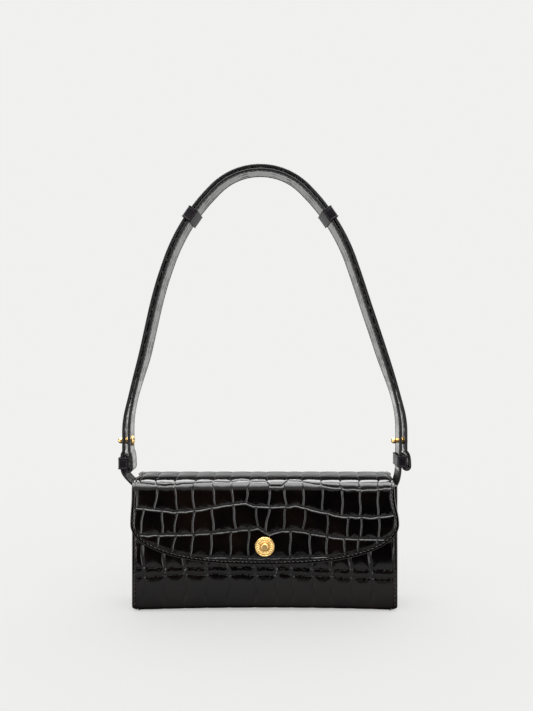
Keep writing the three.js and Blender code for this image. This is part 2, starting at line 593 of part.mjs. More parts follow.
// Free end: from the stud out to the bulge, round a U-turn and up as the tail.
function freeEnd(studX, bulgeX, turnZ, tailX) {
  const swell = new THREE.CubicBezierCurve(
    new THREE.Vector2(studX, STANDING_Z), new THREE.Vector2(studX, STANDING_Z - SWELL.upper),
    new THREE.Vector2(bulgeX, turnZ + SWELL.lower), new THREE.Vector2(bulgeX, turnZ));
  const centre = (bulgeX + tailX) / 2;
  const radius = (bulgeX - tailX) / 2;
  const turn = [];
  for (let i = 1; i <= BEND_STEPS; i++) {
    const angle = Math.PI * i / BEND_STEPS;
    turn.push(new THREE.Vector2(
      centre + radius * Math.cos(angle), turnZ - Math.abs(radius) * Math.sin(angle)));
  }
  return [
    ...studStretch(studX), ...swell.getPoints(CURVE_STEPS).slice(1), ...turn,
    new THREE.Vector2(tailX, turnZ + TAIL_RISE),
  ];
}

// Both ends' places. On the left the inner strap turns inside the outer one, on the right the outer one
// turns outside the inner one; each tail lies on the strap that stands in the same keeper.
const REACH = (COLLAR_GAP + STRAP_T) / 2;
const OUTER_STUD = FOOT_X + REACH;
const INNER_STUD = FOOT_X - REACH;
const TURN_D = STRAP_T + KEEPER_CLEARANCE + KEEPER_T + TURN_ROOM; // between a U-turn's centre lines
const LEFT_BULGE = HALF_WIDTH + BULGE_CLEARANCE + STRAP_T / 2;
const LEFT_TAIL = LEFT_BULGE + TURN_D;
const LEFT_HOLD = LEFT_TAIL + STRAP_T + TAIL_GAP;
const LEFT_TURN_Z = BODY_HEIGHT + TURN_ABOVE_TOP.left;
const RIGHT_HOLD = INNER_STUD - KEEPER_SHIFT;
const RIGHT_TAIL = RIGHT_HOLD + STRAP_T + TAIL_GAP;
const RIGHT_BULGE = RIGHT_TAIL + TURN_D;
const RIGHT_TURN_Z = BODY_HEIGHT + TURN_ABOVE_TOP.right;
const mirror = (line) => line.map((p) => new THREE.Vector2(-p.x, p.y)).reverse();
const outerLine = [
  ...mirror(fixedEnd(OUTER_STUD, LEFT_HOLD, LEFT_TURN_Z, LEFT_BEND)), ...archLine(1),
  ...freeEnd(OUTER_STUD, RIGHT_BULGE, RIGHT_TURN_Z, RIGHT_TAIL),
];
const innerLine = [
  ...mirror(freeEnd(INNER_STUD, LEFT_BULGE, LEFT_TURN_Z, LEFT_TAIL)), ...archLine(-1),
  ...fixedEnd(INNER_STUD, RIGHT_HOLD, RIGHT_TURN_Z, RIGHT_BEND),
];

// Straps, with holes for their studs and for the rivet they turn on
const strap = bodyGroup('strap_body');
const crossHole = (radius, z, from, to) =>
  turnedAboutX([[0, from], [radius, from], [radius, to], [0, to]]).translate(0, 0, z);
const HOLE_REACH = 2 * BODY_WIDTH;
const studHole = crossHole(STUD_HOLE_R, STUD_Z, -HOLE_REACH, HOLE_REACH);
const RIVET_HOLE_R = RIVET_R + RIVET_CLEARANCE;
const leftRivetHole = crossHole(RIVET_HOLE_R, PIVOT_Z, -HOLE_REACH, 0);
const rightRivetHole = crossHole(RIVET_HOLE_R, PIVOT_Z, 0, HOLE_REACH);
add(strap, 'strap_outer', cut(strip(outerLine), studHole, leftRivetHole), STRAP_LEATHER());
add(strap, 'strap_inner', cut(strip(innerLine), studHole, rightRivetHole), STRAP_LEATHER());

// Leather keeper: a band round a stack of straps, drawn about its own centre.
function keeper(stack, length) {
  const band = (half, deep) => [[-half, -deep], [half, -deep], [half, deep], [-half, deep]]
    .map(([x, y]) => new THREE.Vector2(x, y));
  const halfStack = stack / 2 + KEEPER_CLEARANCE;
  const halfWide = STRAP_WIDTH / 2 + KEEPER_CLEARANCE;
  const shape = new THREE.Shape(band(halfStack + KEEPER_T, halfWide + KEEPER_T));
  shape.holes.push(new THREE.Path(band(halfStack, halfWide)));
  return closed(alongZ(shape, -length / 2, length / 2));
}
const TAIL_STACK = 2 * STRAP_T + TAIL_GAP;
const lowerKeepers = {
  left: [-(LEFT_HOLD + LEFT_TAIL) / 2, LEFT_TURN_Z],
  right: [(RIGHT_HOLD + RIGHT_TAIL) / 2, RIGHT_TURN_Z],
};
for (const [name, [x, turnZ]] of Object.entries(lowerKeepers)) {
  const mesh = add(strap, `lower_keeper_${name}`, keeper(TAIL_STACK, KEEPER_LENGTH), STRAP_LEATHER());
  mesh.position.set(x, 0, turnZ - KEEPER_BELOW_TURN + KEEPER_LENGTH / 2);
}
const shoulder = arcs[2];
for (const [name, side] of Object.entries(sides)) {
  const slide = bodyGroup(`upper_keeper_${name}_body`);
  const band = keeper(2 * STRAP_T + LAYER_GAP, UPPER_KEEPER_LENGTH);
  const mesh = add(slide, `upper_keeper_${name}`, band, STRAP_LEATHER());
  const lean = radians(KEEPER_LEAN);
  mesh.position.set(side * (shoulder.centre.x + shoulder.radius * Math.cos(lean)) - ARCH_DRIFT, 0,
    shoulder.centre.y + shoulder.radius * Math.sin(lean));
  mesh.rotation.y = -side * lean;
  strap.add(slide);
}

// Ball studs that pin the two layers: screw base and post, collar between the layers, ball outside.
// Drawn along +X from the base's seat towards the ball, then turned so that both balls point to -X.
const LAYERS = 2 * STRAP_T + COLLAR_GAP;
const BALL_CENTRE = LAYERS + STUD_NECK + Math.sqrt(STUD_BALL_R ** 2 - STUD_NECK_R ** 2);
const BALL_START = -Math.acos(STUD_NECK_R / STUD_BALL_R);
const ballProfile = Array.from({ length: BALL_STEPS + 1 }, (_, i) => {
  const angle = BALL_START + (Math.PI / 2 - BALL_START) * i / BALL_STEPS;
  return [i < BALL_STEPS ? STUD_BALL_R * Math.cos(angle) : 0, BALL_CENTRE + STUD_BALL_R * Math.sin(angle)];
});
const studSeats = { left: -INNER_STUD + STRAP_T / 2, right: OUTER_STUD + STRAP_T / 2 };
for (const [name, x] of Object.entries(studSeats)) {
  const baseR = STUD_BASE_R[name];
  const pieces = {
    base: turnedAboutX([
      [0, -STUD_BASE_T], [baseR - STUD_BASE_T / 2, -STUD_BASE_T], [baseR, -STUD_BASE_T / 2], [baseR, 0],
      [STUD_POST_R, 0], [STUD_POST_R, LAYERS], [0, LAYERS],
    ]),
    collar: turnedAboutX([
      [STUD_HOLE_R, STRAP_T], [STUD_COLLAR_R, STRAP_T], [STUD_COLLAR_R, STRAP_T + COLLAR_GAP],
      [STUD_HOLE_R, STRAP_T + COLLAR_GAP], [STUD_HOLE_R, STRAP_T],
    ]),
    ball: turnedAboutX([[0, LAYERS], [STUD_FOOT_R, LAYERS], ...ballProfile]),
  };
  for (const [piece, geometry] of Object.entries(pieces)) {
    const mesh = add(strap, `stud_${piece}_${name}`, closed(geometry), GOLD());
    mesh.position.set(x, 0, STUD_Z);
    mesh.rotation.z = Math.PI;
  }
}

// Zip slider: a plate over the teeth, a plate under them, a web between the rows and ears for the pull's pin
const slider = bodyGroup('zip_slider_body');
const SLIDER_HALF = SLIDER_LENGTH / 2;
const SLIDER_REST = -(ZIP_HALF - SLIDER_HALF - SLIDER_END_GAP);
const TOP_PLATE_Z = TAPE_TOP + SEAT_GAP;
const UNDER_PLATE_Z = TEETH_Z - SEAT_GAP - SLIDER_PLATE;
const UNDER_HALF = TAPE_FACE - SEAT_GAP;
const WEB_HALF = TEETH_BASE - ZIP_TOOTH - SEAT_GAP;
const EYE_R = PULL_PIN_R + SEAT_GAP;
const PIN_Z = TOP_PLATE_Z + SLIDER_PLATE + EYE_R + PULL_EYE_WALL + SEAT_GAP;
const EAR_INSIDE = PULL_T + SEAT_GAP;
const ears = [-1, 1].map((side) => {
  const inside = side * EAR_INSIDE;
  const outside = side * (EAR_INSIDE + SLIDER_EAR_T);
  return block(-PULL_T, PULL_T, Math.min(inside, outside), Math.max(inside, outside),
    TOP_PLATE_Z, PIN_Z + PULL_T);
});
const PIN_END = EAR_INSIDE + SLIDER_EAR_T / 2;
const pin = turned([[0, -PIN_END], [PULL_PIN_R, -PIN_END], [PULL_PIN_R, PIN_END], [0, PIN_END]])
  .translate(0, 0, PIN_Z);
add(slider, 'zip_slider', join(
  block(-SLIDER_HALF, SLIDER_HALF, -POUCH_INSIDE, POUCH_INSIDE, TOP_PLATE_Z, TOP_PLATE_Z + SLIDER_PLATE),
  block(-SLIDER_HALF, SLIDER_HALF, -UNDER_HALF, UNDER_HALF, UNDER_PLATE_Z, UNDER_PLATE_Z + SLIDER_PLATE),
  block(-SLIDER_HALF, SLIDER_HALF, -WEB_HALF, WEB_HALF, UNDER_PLATE_Z, TOP_PLATE_Z + SLIDER_PLATE),
  ...ears, pin,
), NICKEL()).position.x = SLIDER_REST;

// Zip pull: a flat tab with an eye that turns on the slider's pin
const tab = block(EYE_R, PULL_LENGTH, -PULL_T, PULL_T, PIN_Z - PULL_T / 2, PIN_Z + PULL_T / 2);
const eye = turned([[EYE_R, -PULL_T], [EYE_R + PULL_EYE_WALL, -PULL_T], [EYE_R + PULL_EYE_WALL, PULL_T],
  [EYE_R, PULL_T], [EYE_R, -PULL_T]]).translate(0, 0, PIN_Z);
const pull = bodyGroup('zip_pull_body');
add(pull, 'zip_pull', join(cut(tab, turned([[0, -PULL_T * 2], [EYE_R, -PULL_T * 2], [EYE_R, PULL_T * 2],
  [0, PULL_T * 2]]).translate(0, 0, PIN_Z)), eye), NICKEL()).position.x = SLIDER_REST;

const wallet = bodyGroup('crossbody_wallet');
slider.add(pull);
flapTop.add(flapFront);
wallet.add(body, flapTop, strap, slider);

export default wallet;
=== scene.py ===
import bpy
import numpy as np
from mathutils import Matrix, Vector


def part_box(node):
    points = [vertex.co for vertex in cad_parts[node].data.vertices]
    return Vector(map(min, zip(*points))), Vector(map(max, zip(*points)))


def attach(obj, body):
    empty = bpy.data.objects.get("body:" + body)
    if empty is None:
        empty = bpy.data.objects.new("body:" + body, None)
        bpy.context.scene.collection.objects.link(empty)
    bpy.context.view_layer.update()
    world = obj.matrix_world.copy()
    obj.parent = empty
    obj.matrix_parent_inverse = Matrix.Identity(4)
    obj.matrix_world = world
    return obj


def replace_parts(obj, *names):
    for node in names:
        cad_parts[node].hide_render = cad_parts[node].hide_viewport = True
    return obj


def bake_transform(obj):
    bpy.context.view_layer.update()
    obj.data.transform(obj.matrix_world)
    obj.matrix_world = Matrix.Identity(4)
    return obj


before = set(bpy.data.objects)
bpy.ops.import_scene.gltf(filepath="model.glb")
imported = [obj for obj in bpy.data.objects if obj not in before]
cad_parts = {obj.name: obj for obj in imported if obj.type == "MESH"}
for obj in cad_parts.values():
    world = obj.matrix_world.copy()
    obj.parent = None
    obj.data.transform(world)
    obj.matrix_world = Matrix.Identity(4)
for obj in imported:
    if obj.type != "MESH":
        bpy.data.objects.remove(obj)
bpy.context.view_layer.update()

# Camera: level, in front of the wallet and above its flap, where the photograph was taken from.
# The focal length is in pixels of a picture of 533 by 711, whose long side is the sensor's width.
PICTURE = (533, 711)
FOCAL_PIXELS = 681
view = bpy.data.cameras.new("view")
view.lens = view.sensor_width * FOCAL_PIXELS / max(PICTURE)
camera = bpy.data.objects.new("view", view)
camera.location = (0.0013, -0.520, 0.1889)
camera.rotation_euler = (np.pi / 2, 0, 0)
bpy.context.scene.collection.objects.link(camera)
bpy.context.scene.camera = camera

# Front and base: one sheet of black patent leather, embossed with scales, that comes down the front,
# folds under the wallet and ends low on the back. Its cut edges are sealed with edge paint.
MM = 0.001


def corners(node):
    """Lowest and highest corner of a CAD node, in millimetres."""
    low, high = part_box(node)
    return np.array(low) / MM, np.array(high) / MM


def ease(value, start, end):
    """0 before start, 1 after end, and the curve 3t^2 - 2t^3 between them."""
    t = np.clip((value - start) / (end - start), 0, 1)
    return t * t * (3 - 2 * t)


def ripple(x, y, length, seed, waves=14):
    """Even noise from -1 to 1: the sum of plane waves of about one wavelength in random directions."""
    draw = np.random.default_rng(seed)
    total = np.zeros(np.broadcast(x, y).shape)
    for turn, shift, stretch in draw.uniform(0, 1, (waves, 3)):
        angle = 2 * np.pi * turn
        pace = 2 * np.pi / (length * (0.7 + 0.8 * stretch))
        total += np.sin(pace * (x * np.cos(angle) + y * np.sin(angle)) + 2 * np.pi * shift)
    return total / np.sqrt(2 * waves)


def unit(vectors):
    """Vectors divided by their lengths."""
    return vectors / np.maximum(np.linalg.norm(vectors, axis=-1, keepdims=True), 1e-9)


def arc(centre, radius, start, end, steps=40):
    """Points on a circle from one angle to another, in degrees."""
    angle = np.radians(np.linspace(start, end, steps))
    return np.stack([centre[0] + radius * np.cos(angle), centre[1] + radius * np.sin(angle)], -1)


class Trace:
    """A line through stretches of points, walked by distance, with the side on its right as its outside."""

    STEP = 0.2

    def __init__(self, *stretches):
        points = np.vstack([np.atleast_2d(s) for s in stretches])
        points = points[np.r_[True, np.linalg.norm(np.diff(points, axis=0), axis=1) > 1e-6]]
        far = np.r_[0, np.cumsum(np.linalg.norm(np.diff(points, axis=0), axis=1))]
        self.length = far[-1]
        self.far = np.linspace(0, self.length, int(self.length / self.STEP) + 2)
        self.points = np.stack([np.interp(self.far, far, points[:, i]) for i in (0, 1)], -1)
        along = unit(np.gradient(self.points, axis=0))
        self.out = np.stack([along[:, 1], -along[:, 0]], -1)

    def at(self, far, lift=0):
        """Points at these distances, moved out by lift."""
        a, b = (np.interp(far, self.far, (self.points[:, i])) for i in (0, 1))
        c, d = (np.interp(far, self.far, (self.out[:, i])) for i in (0, 1))
        size = np.maximum(np.hypot(c, d), 1e-9)
        return a + lift * c / size, b + lift * d / size


CREASE_END = 110.0  # the long creases are drawn this far to both sides


def crease_line(points, x, step=0.25, rounding=8):
    """Height of a long crease at x: straight between its points, with corners rounded over a few steps."""
    fine = np.arange(-CREASE_END, CREASE_END + step / 2, step)
    window = np.hanning(2 * rounding + 1)
    level = np.interp(fine, *np.transpose(points))
    level = np.convolve(np.pad(level, rounding, mode="edge"), window / window.sum(), "valid")
    return np.interp(x, fine, level)


def bell(gap, width):
    """1 at a gap of 0, falling off as a bell curve."""
    return np.exp(-(gap / width) ** 2)


def crease(gap, width):
    """1 at a gap of 0, falling off steeply from a sharp bottom."""
    return np.exp(-(gap / width) ** 1.25)


SCALE_CORNER = 2.0
SCALE_CROWN, CROWN_BORDER = 0.24, 3.6  # rise of a scale's middle, and the width over which it rises
SCALE_LEAN = 0.12  # a scale's upper end stands out by this much
ROW_WAVE, ROW_WAVE_LENGTH = 0.25, 9  # how far the long creases wander, and over what length
COLUMN_SWAY, COLUMN_PACE = 0.3, 0.4  # how far the short ones do, and how fast
ROW_WIDTH, CORNER_WIDTH = 0.55, 0.45
COLUMN_WIDTHS, COLUMN_STRENGTHS = (0.38, 0.5), (0.75, 1.0)
CRINKLE, CRINKLE_REACH, CRINKLE_LENGTH = 0.06, 2.4, 1.8  # fine wrinkles beside the long creases
CRINKLE_SQUEEZE = (1.6, 0.6)  # they are shorter along those than across them
BREAK_LENGTH, BREAK_RANGE = 5, (-0.7, 0.4)  # stretches in which a broken crease comes and goes
COLUMN_SHIFT, COLUMN_SLANT = 2.2, 2  # most that a short crease is out of place and slanted where none shows
STRIP_OVERRUN = 4  # the outermost strips go on past the leather
FAR_OFF = 99.0  # a gap where there is no edge or crease


def scale_relief(x, run, rows, bands, seed, row_depth, depth, spread, broken=()):
    """Relief of scale-embossed leather at places (x, run), in millimetres, 0 on top of a scale.

    rows are the long creases from low to high. bands lists, for the strips below, between and above them,
    the short creases as pairs (x at the strip's lower end, x at its upper end). A scale is a crowned
    rectangle with rounded corners that leans out a little at its upper end, between sharp creases. Rows
    named in broken come and go. spread widens the short creases.
    """
    draw = np.random.default_rng(seed)
    wander = ROW_WAVE * ripple(x, run, ROW_WAVE_LENGTH, seed + 1)
    lines = np.array([crease_line(points, x) for points in rows]) + wander
    band = (run > lines).sum(0)
    row_gaps = np.abs(run - lines)
    row_gap = row_gaps.min(0)
    row_strength = np.ones(x.shape)
    for k in broken:
        fading = ease(ripple(x, 0 * x, BREAK_LENGTH, seed + 2 + k), *BREAK_RANGE)
        row_strength = np.where(row_gaps.argmin(0) == k, fading, row_strength)
    floor = np.vstack([np.full((1,) + x.shape, run.min() - STRIP_OVERRUN), lines])
    roof = np.vstack([lines, np.full((1,) + x.shape, run.max() + STRIP_OVERRUN)])
    column_gap, column_width = np.full(x.shape, FAR_OFF), np.ones(x.shape)
    column_strength, share = np.zeros(x.shape), np.zeros(x.shape)
    for k, columns in enumerate(bands):
        here = band == k
        share[here] = (run[here] - floor[k][here]) / (roof[k] - floor[k])[here]
        for low, high in columns:
            sway = COLUMN_SWAY * np.sin(COLUMN_PACE * run[here] + draw.uniform(0, 6))
            gap = np.abs(x[here] - (low + (high - low) * share[here] + sway))
            width, strength = spread * draw.uniform(*COLUMN_WIDTHS), draw.uniform(*COLUMN_STRENGTHS)
            nearer = gap < column_gap[here]
            for values, value in ((column_gap, gap), (column_width, width), (column_strength, strength)):
                values[here] = np.where(nearer, value, values[here])
    corner = SCALE_CORNER - np.hypot(SCALE_CORNER - row_gap, SCALE_CORNER - column_gap)
    in_corner = np.maximum(row_gap, column_gap) < SCALE_CORNER
    near = np.where(in_corner, corner, np.minimum(row_gap, column_gap))
    near = np.maximum(near, 0)
    row_deep, column_deep = row_depth * row_strength, depth * column_strength
    groove = np.maximum(row_deep * crease(row_gap, ROW_WIDTH), column_deep * crease(column_gap, column_width))
    rounded = np.minimum(row_deep, column_deep) * crease(near, CORNER_WIDTH)
    groove = np.where(in_corner, np.maximum(groove, rounded), groove)
    crown = SCALE_CROWN * (1 - bell(near, CROWN_BORDER)) + SCALE_LEAN * share
    fine_x, fine_run = CRINKLE_SQUEEZE[0] * x, CRINKLE_SQUEEZE[1] * run
    crinkle = bell(row_gap, CRINKLE_REACH) * ripple(fine_x, fine_run, CRINKLE_LENGTH, seed + 9)
    return crown - SCALE_CROWN - SCALE_LEAN - groove + CRINKLE * crinkle


def even_bands(rows, seed, pitch=14.5, reach=100):
    """Short creases for strips that don't show in the photograph: about a pitch apart, a little slanted."""
    draw = np.random.default_rng(seed)
    bands = []
    for _ in range(len(rows) + 1):
        x = np.arange(-reach + draw.uniform(0, pitch), reach, pitch)
        x = x + draw.uniform(-COLUMN_SHIFT, COLUMN_SHIFT, len(x))
        bands.append(np.stack([x, x + draw.uniform(-COLUMN_SLANT, COLUMN_SLANT, len(x))], -1))
    return bands


def grid_faces(rows, columns, first=0, ring=False):
    """Quads of a grid of points numbered row by row; ring joins the last column to the first one."""
    index = first + np.arange(rows * columns).reshape(rows, columns)
    if ring:
        index = np.hstack([index, index[:, :1]])
    return np.stack([index[:-1, :-1], index[:-1, 1:], index[1:, 1:], index[1:, :-1]], -1).reshape(-1, 4)


def add_piece(name, points, faces, materials, body=None, face_material=None, sharp=None, uv=None):
    """Puts points in millimetres and lists of faces into a smooth mesh that rides on a body."""
    mesh = bpy.data.meshes.new(name)
    mesh.from_pydata((np.asarray(points) * MM).tolist(), [], [f for block in faces for f in block.tolist()])
    for material in materials:
        mesh.materials.append(material)
    mesh.polygons.foreach_set("use_smooth", np.ones(len(mesh.polygons), bool))
    if face_material is not None:
        mesh.polygons.foreach_set("material_index", np.asarray(face_material, np.int32))
    if uv is not None:
        corner = np.empty(len(mesh.loops), np.int32)
        mesh.loops.foreach_get("vertex_index", corner)
        layer = mesh.uv_layers.new(name="run")
        layer.data.foreach_set("uv", np.asarray(uv, np.float32)[corner].ravel())
    if sharp is not None:
        ends = np.empty(2 * len(mesh.edges), np.int32)
        mesh.edges.foreach_get("vertices", ends)
        hard = sharp[ends.reshape(-1, 2)].all(1)
        mesh.attributes.new("sharp_edge", "BOOLEAN", "EDGE").data.foreach_set("value", hard)
    mesh.update()
    piece = bpy.data.objects.new(name, mesh)
    bpy.context.scene.collection.objects.link(piece)
    if body:
        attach(piece, body)
    return piece


EDGE_FULLNESS = 0.9  # how far a painted edge swells out, as a share of half its thickness


def leather_sheet(name, outer, inner, materials, uv, body=None, slot=None, butt=(), step=8, edge_steps=6):
    """Closed sheet of leather: a fine outer grid, a half-round painted edge and a coarser inner grid.

    The edge swells out of the border as a half ellipse. Borders named in butt ("first", "last" row) stay
    square, because the leather goes on there in the next piece.
    """
    rows, columns = outer.shape[:2]
    index = np.arange(rows * columns).reshape(rows, columns)
    ring = np.r_[index[0, :-1], index[:-1, -1], index[-1, :0:-1], index[:0:-1, 0]]
    top, under = outer.reshape(-1, 3)[ring], inner.reshape(-1, 3)[ring]
    inside = np.empty_like(outer)
    inside[:] = outer.mean((0, 1))
    inside[0], inside[-1] = outer[1], outer[-2]
    inside[1:-1, 0], inside[1:-1, -1] = outer[1:-1, 1], outer[1:-1, -2]
    inside[[0, 0, -1, -1], [0, -1, 0, -1]] = outer[[1, 1, -2, -2], [1, -2, 1, -2]]
    away = np.cross(np.roll(top, -1, 0) - np.roll(top, 1, 0), top - under)
    away = unit(away * np.sign((away * (top - inside.reshape(-1, 3)[ring])).sum(-1, keepdims=True)))
    swell = EDGE_FULLNESS * np.linalg.norm(top - under, axis=-1) / 2
    square = np.zeros(rows * columns, bool)
    for border, turn in (("first", 1), ("last", -1)):
        if border in butt:
            row = 0 if border == "first" else -1
            ends = index[row, [0, -1]]
            swell[np.isin(ring, index[row, 1:-1])] = 0
            for end, side in zip(ends, (index[turn + row, 0], index[turn + row, -1])):
                away[ring == end] = away[ring == side]
            square[index[row]] = True
    angle = np.linspace(0, np.pi, edge_steps + 1)[1:, None, None]
    edge = ((top + under) / 2 + (top - under) / 2 * np.cos(angle)
            + (away * swell[:, None]) * np.sin(angle)).reshape(-1, 3)
    keep_rows = np.r_[1, np.arange(step, rows - 1, step), rows - 2]
    keep_columns = np.r_[1, np.arange(step, columns - 1, step), columns - 2]
    back = inner[np.ix_(keep_rows, keep_columns)]
    around, first, last = len(ring), rows * columns, rows * columns + (edge_steps - 1) * len(ring)
    loops = np.vstack([ring, first + np.arange(edge_steps * around).reshape(edge_steps, around)])
    wrapped = np.hstack([loops, loops[:, :1]])
    rim = np.stack([wrapped[:-1, 1:], wrapped[:-1, :-1], wrapped[1:, :-1], wrapped[1:, 1:]], -1)
    start = first + edge_steps * around
    coarse = start + np.arange(back.shape[0] * back.shape[1]).reshape(back.shape[:2])
    hoop = np.r_[coarse[0, :-1], coarse[:-1, -1], coarse[-1, :0:-1], coarse[:0:-1, 0]]
    fine = np.arange(around)
    owner = ((fine + step // 2) // step) % len(hoop)
    following = np.roll(owner, -1)
    fan = np.stack([last + np.roll(fine, -1), last + fine, hoop[owner]], -1)
    change = owner != following
    bridge = np.stack([last + np.roll(fine, -1), hoop[owner], hoop[following]], -1)[change]
    sheet = grid_faces(rows, columns)
    lining = grid_faces(*back.shape[:2], first=start)[:, ::-1]
    normal = np.cross(outer[:-1, 1:] - outer[:-1, :-1], outer[1:, :-1] - outer[:-1, :-1])
    faces = [sheet, rim.reshape(-1, 4), fan, bridge, lining]
    if (normal * (outer - inner)[:-1, :-1]).sum() < 0:
        faces = [block[:, ::-1] for block in faces]
    kind = np.concatenate([np.full(len(block), tone) for block, tone in zip(faces, (0, 1, 1, 1, 1))])
    places = np.vstack([outer.reshape(-1, 3), edge, back.reshape(-1, 3)])
    flat = uv.reshape(-1, 2)
    coarse_flat = uv[np.ix_(keep_rows, keep_columns)].reshape(-1, 2)
    flat = np.vstack([flat, np.tile(flat[ring], (edge_steps, 1)), coarse_flat])
    hard = np.r_[square, np.zeros(len(places) - rows * columns, bool)] if butt else None
    return add_piece(name, places, faces, materials, body, face_material=kind, sharp=hard, uv=flat)


def new_material(name):
    """A material with its node tree and its shader."""
    material = bpy.data.materials.new(name)
    material.use_nodes = True
    return material, material.node_tree, material.node_tree.nodes["Principled BSDF"]


def set_inputs(tree, node, inputs):
    """Links a node's inputs to sockets, or sets them to values."""
    for key, value in inputs.items():
        if isinstance(value, bpy.types.NodeSocket):
            tree.links.new(value, node.inputs[key])
        else:
            node.inputs[key].default_value = value


def add_node(tree, kind, inputs):
    """A new node with its inputs linked or set."""
    made = tree.nodes.new(kind)
    set_inputs(tree, made, inputs)
    return made


def own_place(tree):
    """The piece's own coordinates."""
    return tree.nodes.new("ShaderNodeTexCoord").outputs["Object"]


def noise(tree, scale, detail, stretch=(1, 1, 1)):
    """Noise on the piece's own coordinates: scale is in cycles per metre, stretch squeezes it by axes."""
    squeezed = add_node(tree, "ShaderNodeMapping", {"Vector": own_place(tree), "Scale": stretch})
    inputs = {"Vector": squeezed.outputs["Vector"], "Scale": scale, "Detail": detail}
    return add_node(tree, "ShaderNodeTexNoise", inputs).outputs["Fac"]


def between(tree, value, low, high, start=0.35, end=0.65):
    """Maps a noise's middle range to low and high, which may be numbers or colours."""
    if np.ndim(low):
        ramp = add_node(tree, "ShaderNodeValToRGB", {"Fac": value})
        for stop, place, colour in zip(ramp.color_ramp.elements, (start, end), (low, high)):
            stop.position = place
            stop.color = (*colour, 1)
        return ramp.outputs["Color"]
    spread = {"Value": value, "From Min": start, "From Max": end, "To Min": low, "To Max": high}
    return add_node(tree, "ShaderNodeMapRange", spread).outputs["Result"]


def bump(tree, height, depth, below=None):
    """Normals of a height from 0 to 1 that is depth millimetres high, on top of other normals."""
    inputs = {"Height": height, "Distance": depth * MM, "Strength": 1.0}
    if below is not None:
        inputs["Normal"] = below
    return add_node(tree, "ShaderNodeBump", inputs).outputs["Normal"]


def finish(name, tones, roughness, grain, others):
    """A material whose colour and roughness go from one value to another in clouds, over fine grain.

    tones and roughness are (cycles per metre, detail, from, to), or one number for roughness. grain lists
    layers of (cycles per metre, detail, depth in millimetres), the last on top. One more value in any of
    these squeezes its noise by axes. others are the shader's remaining inputs.
    """
    material, tree, shader = new_material(name)

    def cloud(scale, detail, low, high, stretch=(1, 1, 1)):
        """Noise that goes from low to high."""
        return between(tree, noise(tree, scale, detail, stretch), low, high)

    normal = None
    for scale, detail, depth, *stretch in grain:
        normal = bump(tree, noise(tree, scale, detail, *stretch), depth, normal)
    set_inputs(tree, shader, {
        "Base Color": cloud(*tones), "Roughness": cloud(*roughness) if np.ndim(roughness) else roughness,
        "Normal": normal, **others})
    return material


def edge_finish(name, shine):
    """Edge paint: a satin black film with soft brush waves."""
    return finish(name, (160, 2, (0.006, 0.005, 0.006), (0.013, 0.011, 0.011)), (500, 2, 0.28, 0.42),
                  [(700, 2, 0.03)], {"Specular IOR Level": shine})


# Black patent leather is a lacquer with a faint orange peel over dark, slightly brown grain.
patent = finish("patent_leather", (34, 3, (0.0009, 0.0008, 0.0012), (0.0048, 0.0021, 0.0012)),
                (34, 3, 0.1, 0.16), [(330, 1, 0.035), (1400, 3, 0.012, (1, 1, 0.6))], {"IOR": 1.47})
edge_paint = edge_finish("edge_paint", 0.8)
front_low, front_high = corners("front_panel")
base_high, back_high = corners("base_panel")[1], corners("back_panel")[1]
HALF_WIDTH = front_high[0]
WALL = front_high[1] - front_low[1]
FOLD_R = 3.0
CORNER_R = 4.0
BASE_ARCH, ARCH_HEIGHT = 1.7, 26  # how far the base's middle stands up, and how high the walls follow it
wall_path = Trace(
    [front_low[1], front_high[2]], arc((front_low[1] + FOLD_R, FOLD_R), FOLD_R, 180, 270),
    arc((back_high[1] - FOLD_R, FOLD_R), FOLD_R, 270, 360), [back_high[1], base_high[2]])
# Long creases on the front as (x, height): two on the base, a scalloped one, a broken one above it, and those
# under the flap.
WALL_END = front_high[2] - wall_path.length
FRONT_ROWS = [
    [(-CREASE_END, WALL_END), (CREASE_END, WALL_END)], [(-110, -16), (-30, -14), (40, -17), (110, -15)],
    [(-98, 25.2), (-75, 26.4), (-60, 27.8), (-44, 26.6), (-36, 28.4), (-27, 26.6), (-17, 28.2), (-7.8, 26.4),
     (0, 27.3), (7.8, 26.4), (14, 28.4), (20, 26.8), (35, 25.8), (49, 26), (64, 24.8), (98, 24.2)],
    [(-98, 32), (-60, 31.8), (-20, 32.6), (20, 32), (60, 30.6), (98, 30.4)],
    [(-110, 50), (-40, 48), (20, 51), (110, 49)], [(-110, 69), (0, 71), (110, 68)]]
FRONT_COLUMNS = np.array([-90.1, -74.6, -59.8, -43.5, -27.2, -7.8, 7.8, 19.4, 34.9, 48.9, 63.7, 78.4])
front_bands = even_bands(FRONT_ROWS, seed=5)
for strip, slant in ((2, 1.2), (3, 0.6), (4, -0.8)):
    front_bands[strip] = np.stack([FRONT_COLUMNS, FRONT_COLUMNS + slant], -1)


def wall_half(height):
    """Half width of the walls' leather: full, with rounded lower corners."""
    sunk = np.clip(CORNER_R - height, 0, CORNER_R)
    return HALF_WIDTH - CORNER_R + np.sqrt(CORNER_R ** 2 - sunk ** 2)


def base_arch(x, z):
    """How far the leather is raised low on the walls, because the base bows up between its ends."""
    return BASE_ARCH * (1 - (x / HALF_WIDTH) ** 2) * (1 - ease(z, 0, ARCH_HEIGHT))


def wall_surface(path, side, far, lift):
    """The walls' leather at side -1 to 1 and a distance along its path, with its base arched."""
    y, z = path.at(far, lift)
    x = side * (wall_half(path.at(far)[1]) - EDGE_FULLNESS * WALL / 2)
    return np.stack([x, y, z + base_arch(x, z)], -1)


STITCH_INSET = 2.5  # seam from the edge
SCALES_FROM, SCALES_FULL = 2.6, 4.6  # distances from the edge where the scales begin and stand full
SKIVED_WIDTH, SKIVED_DEPTH = 6.0, 0.6  # the leather is thinned towards its edge
BORDER_SET_BACK = 0.08  # the plain border lies this far under the scales


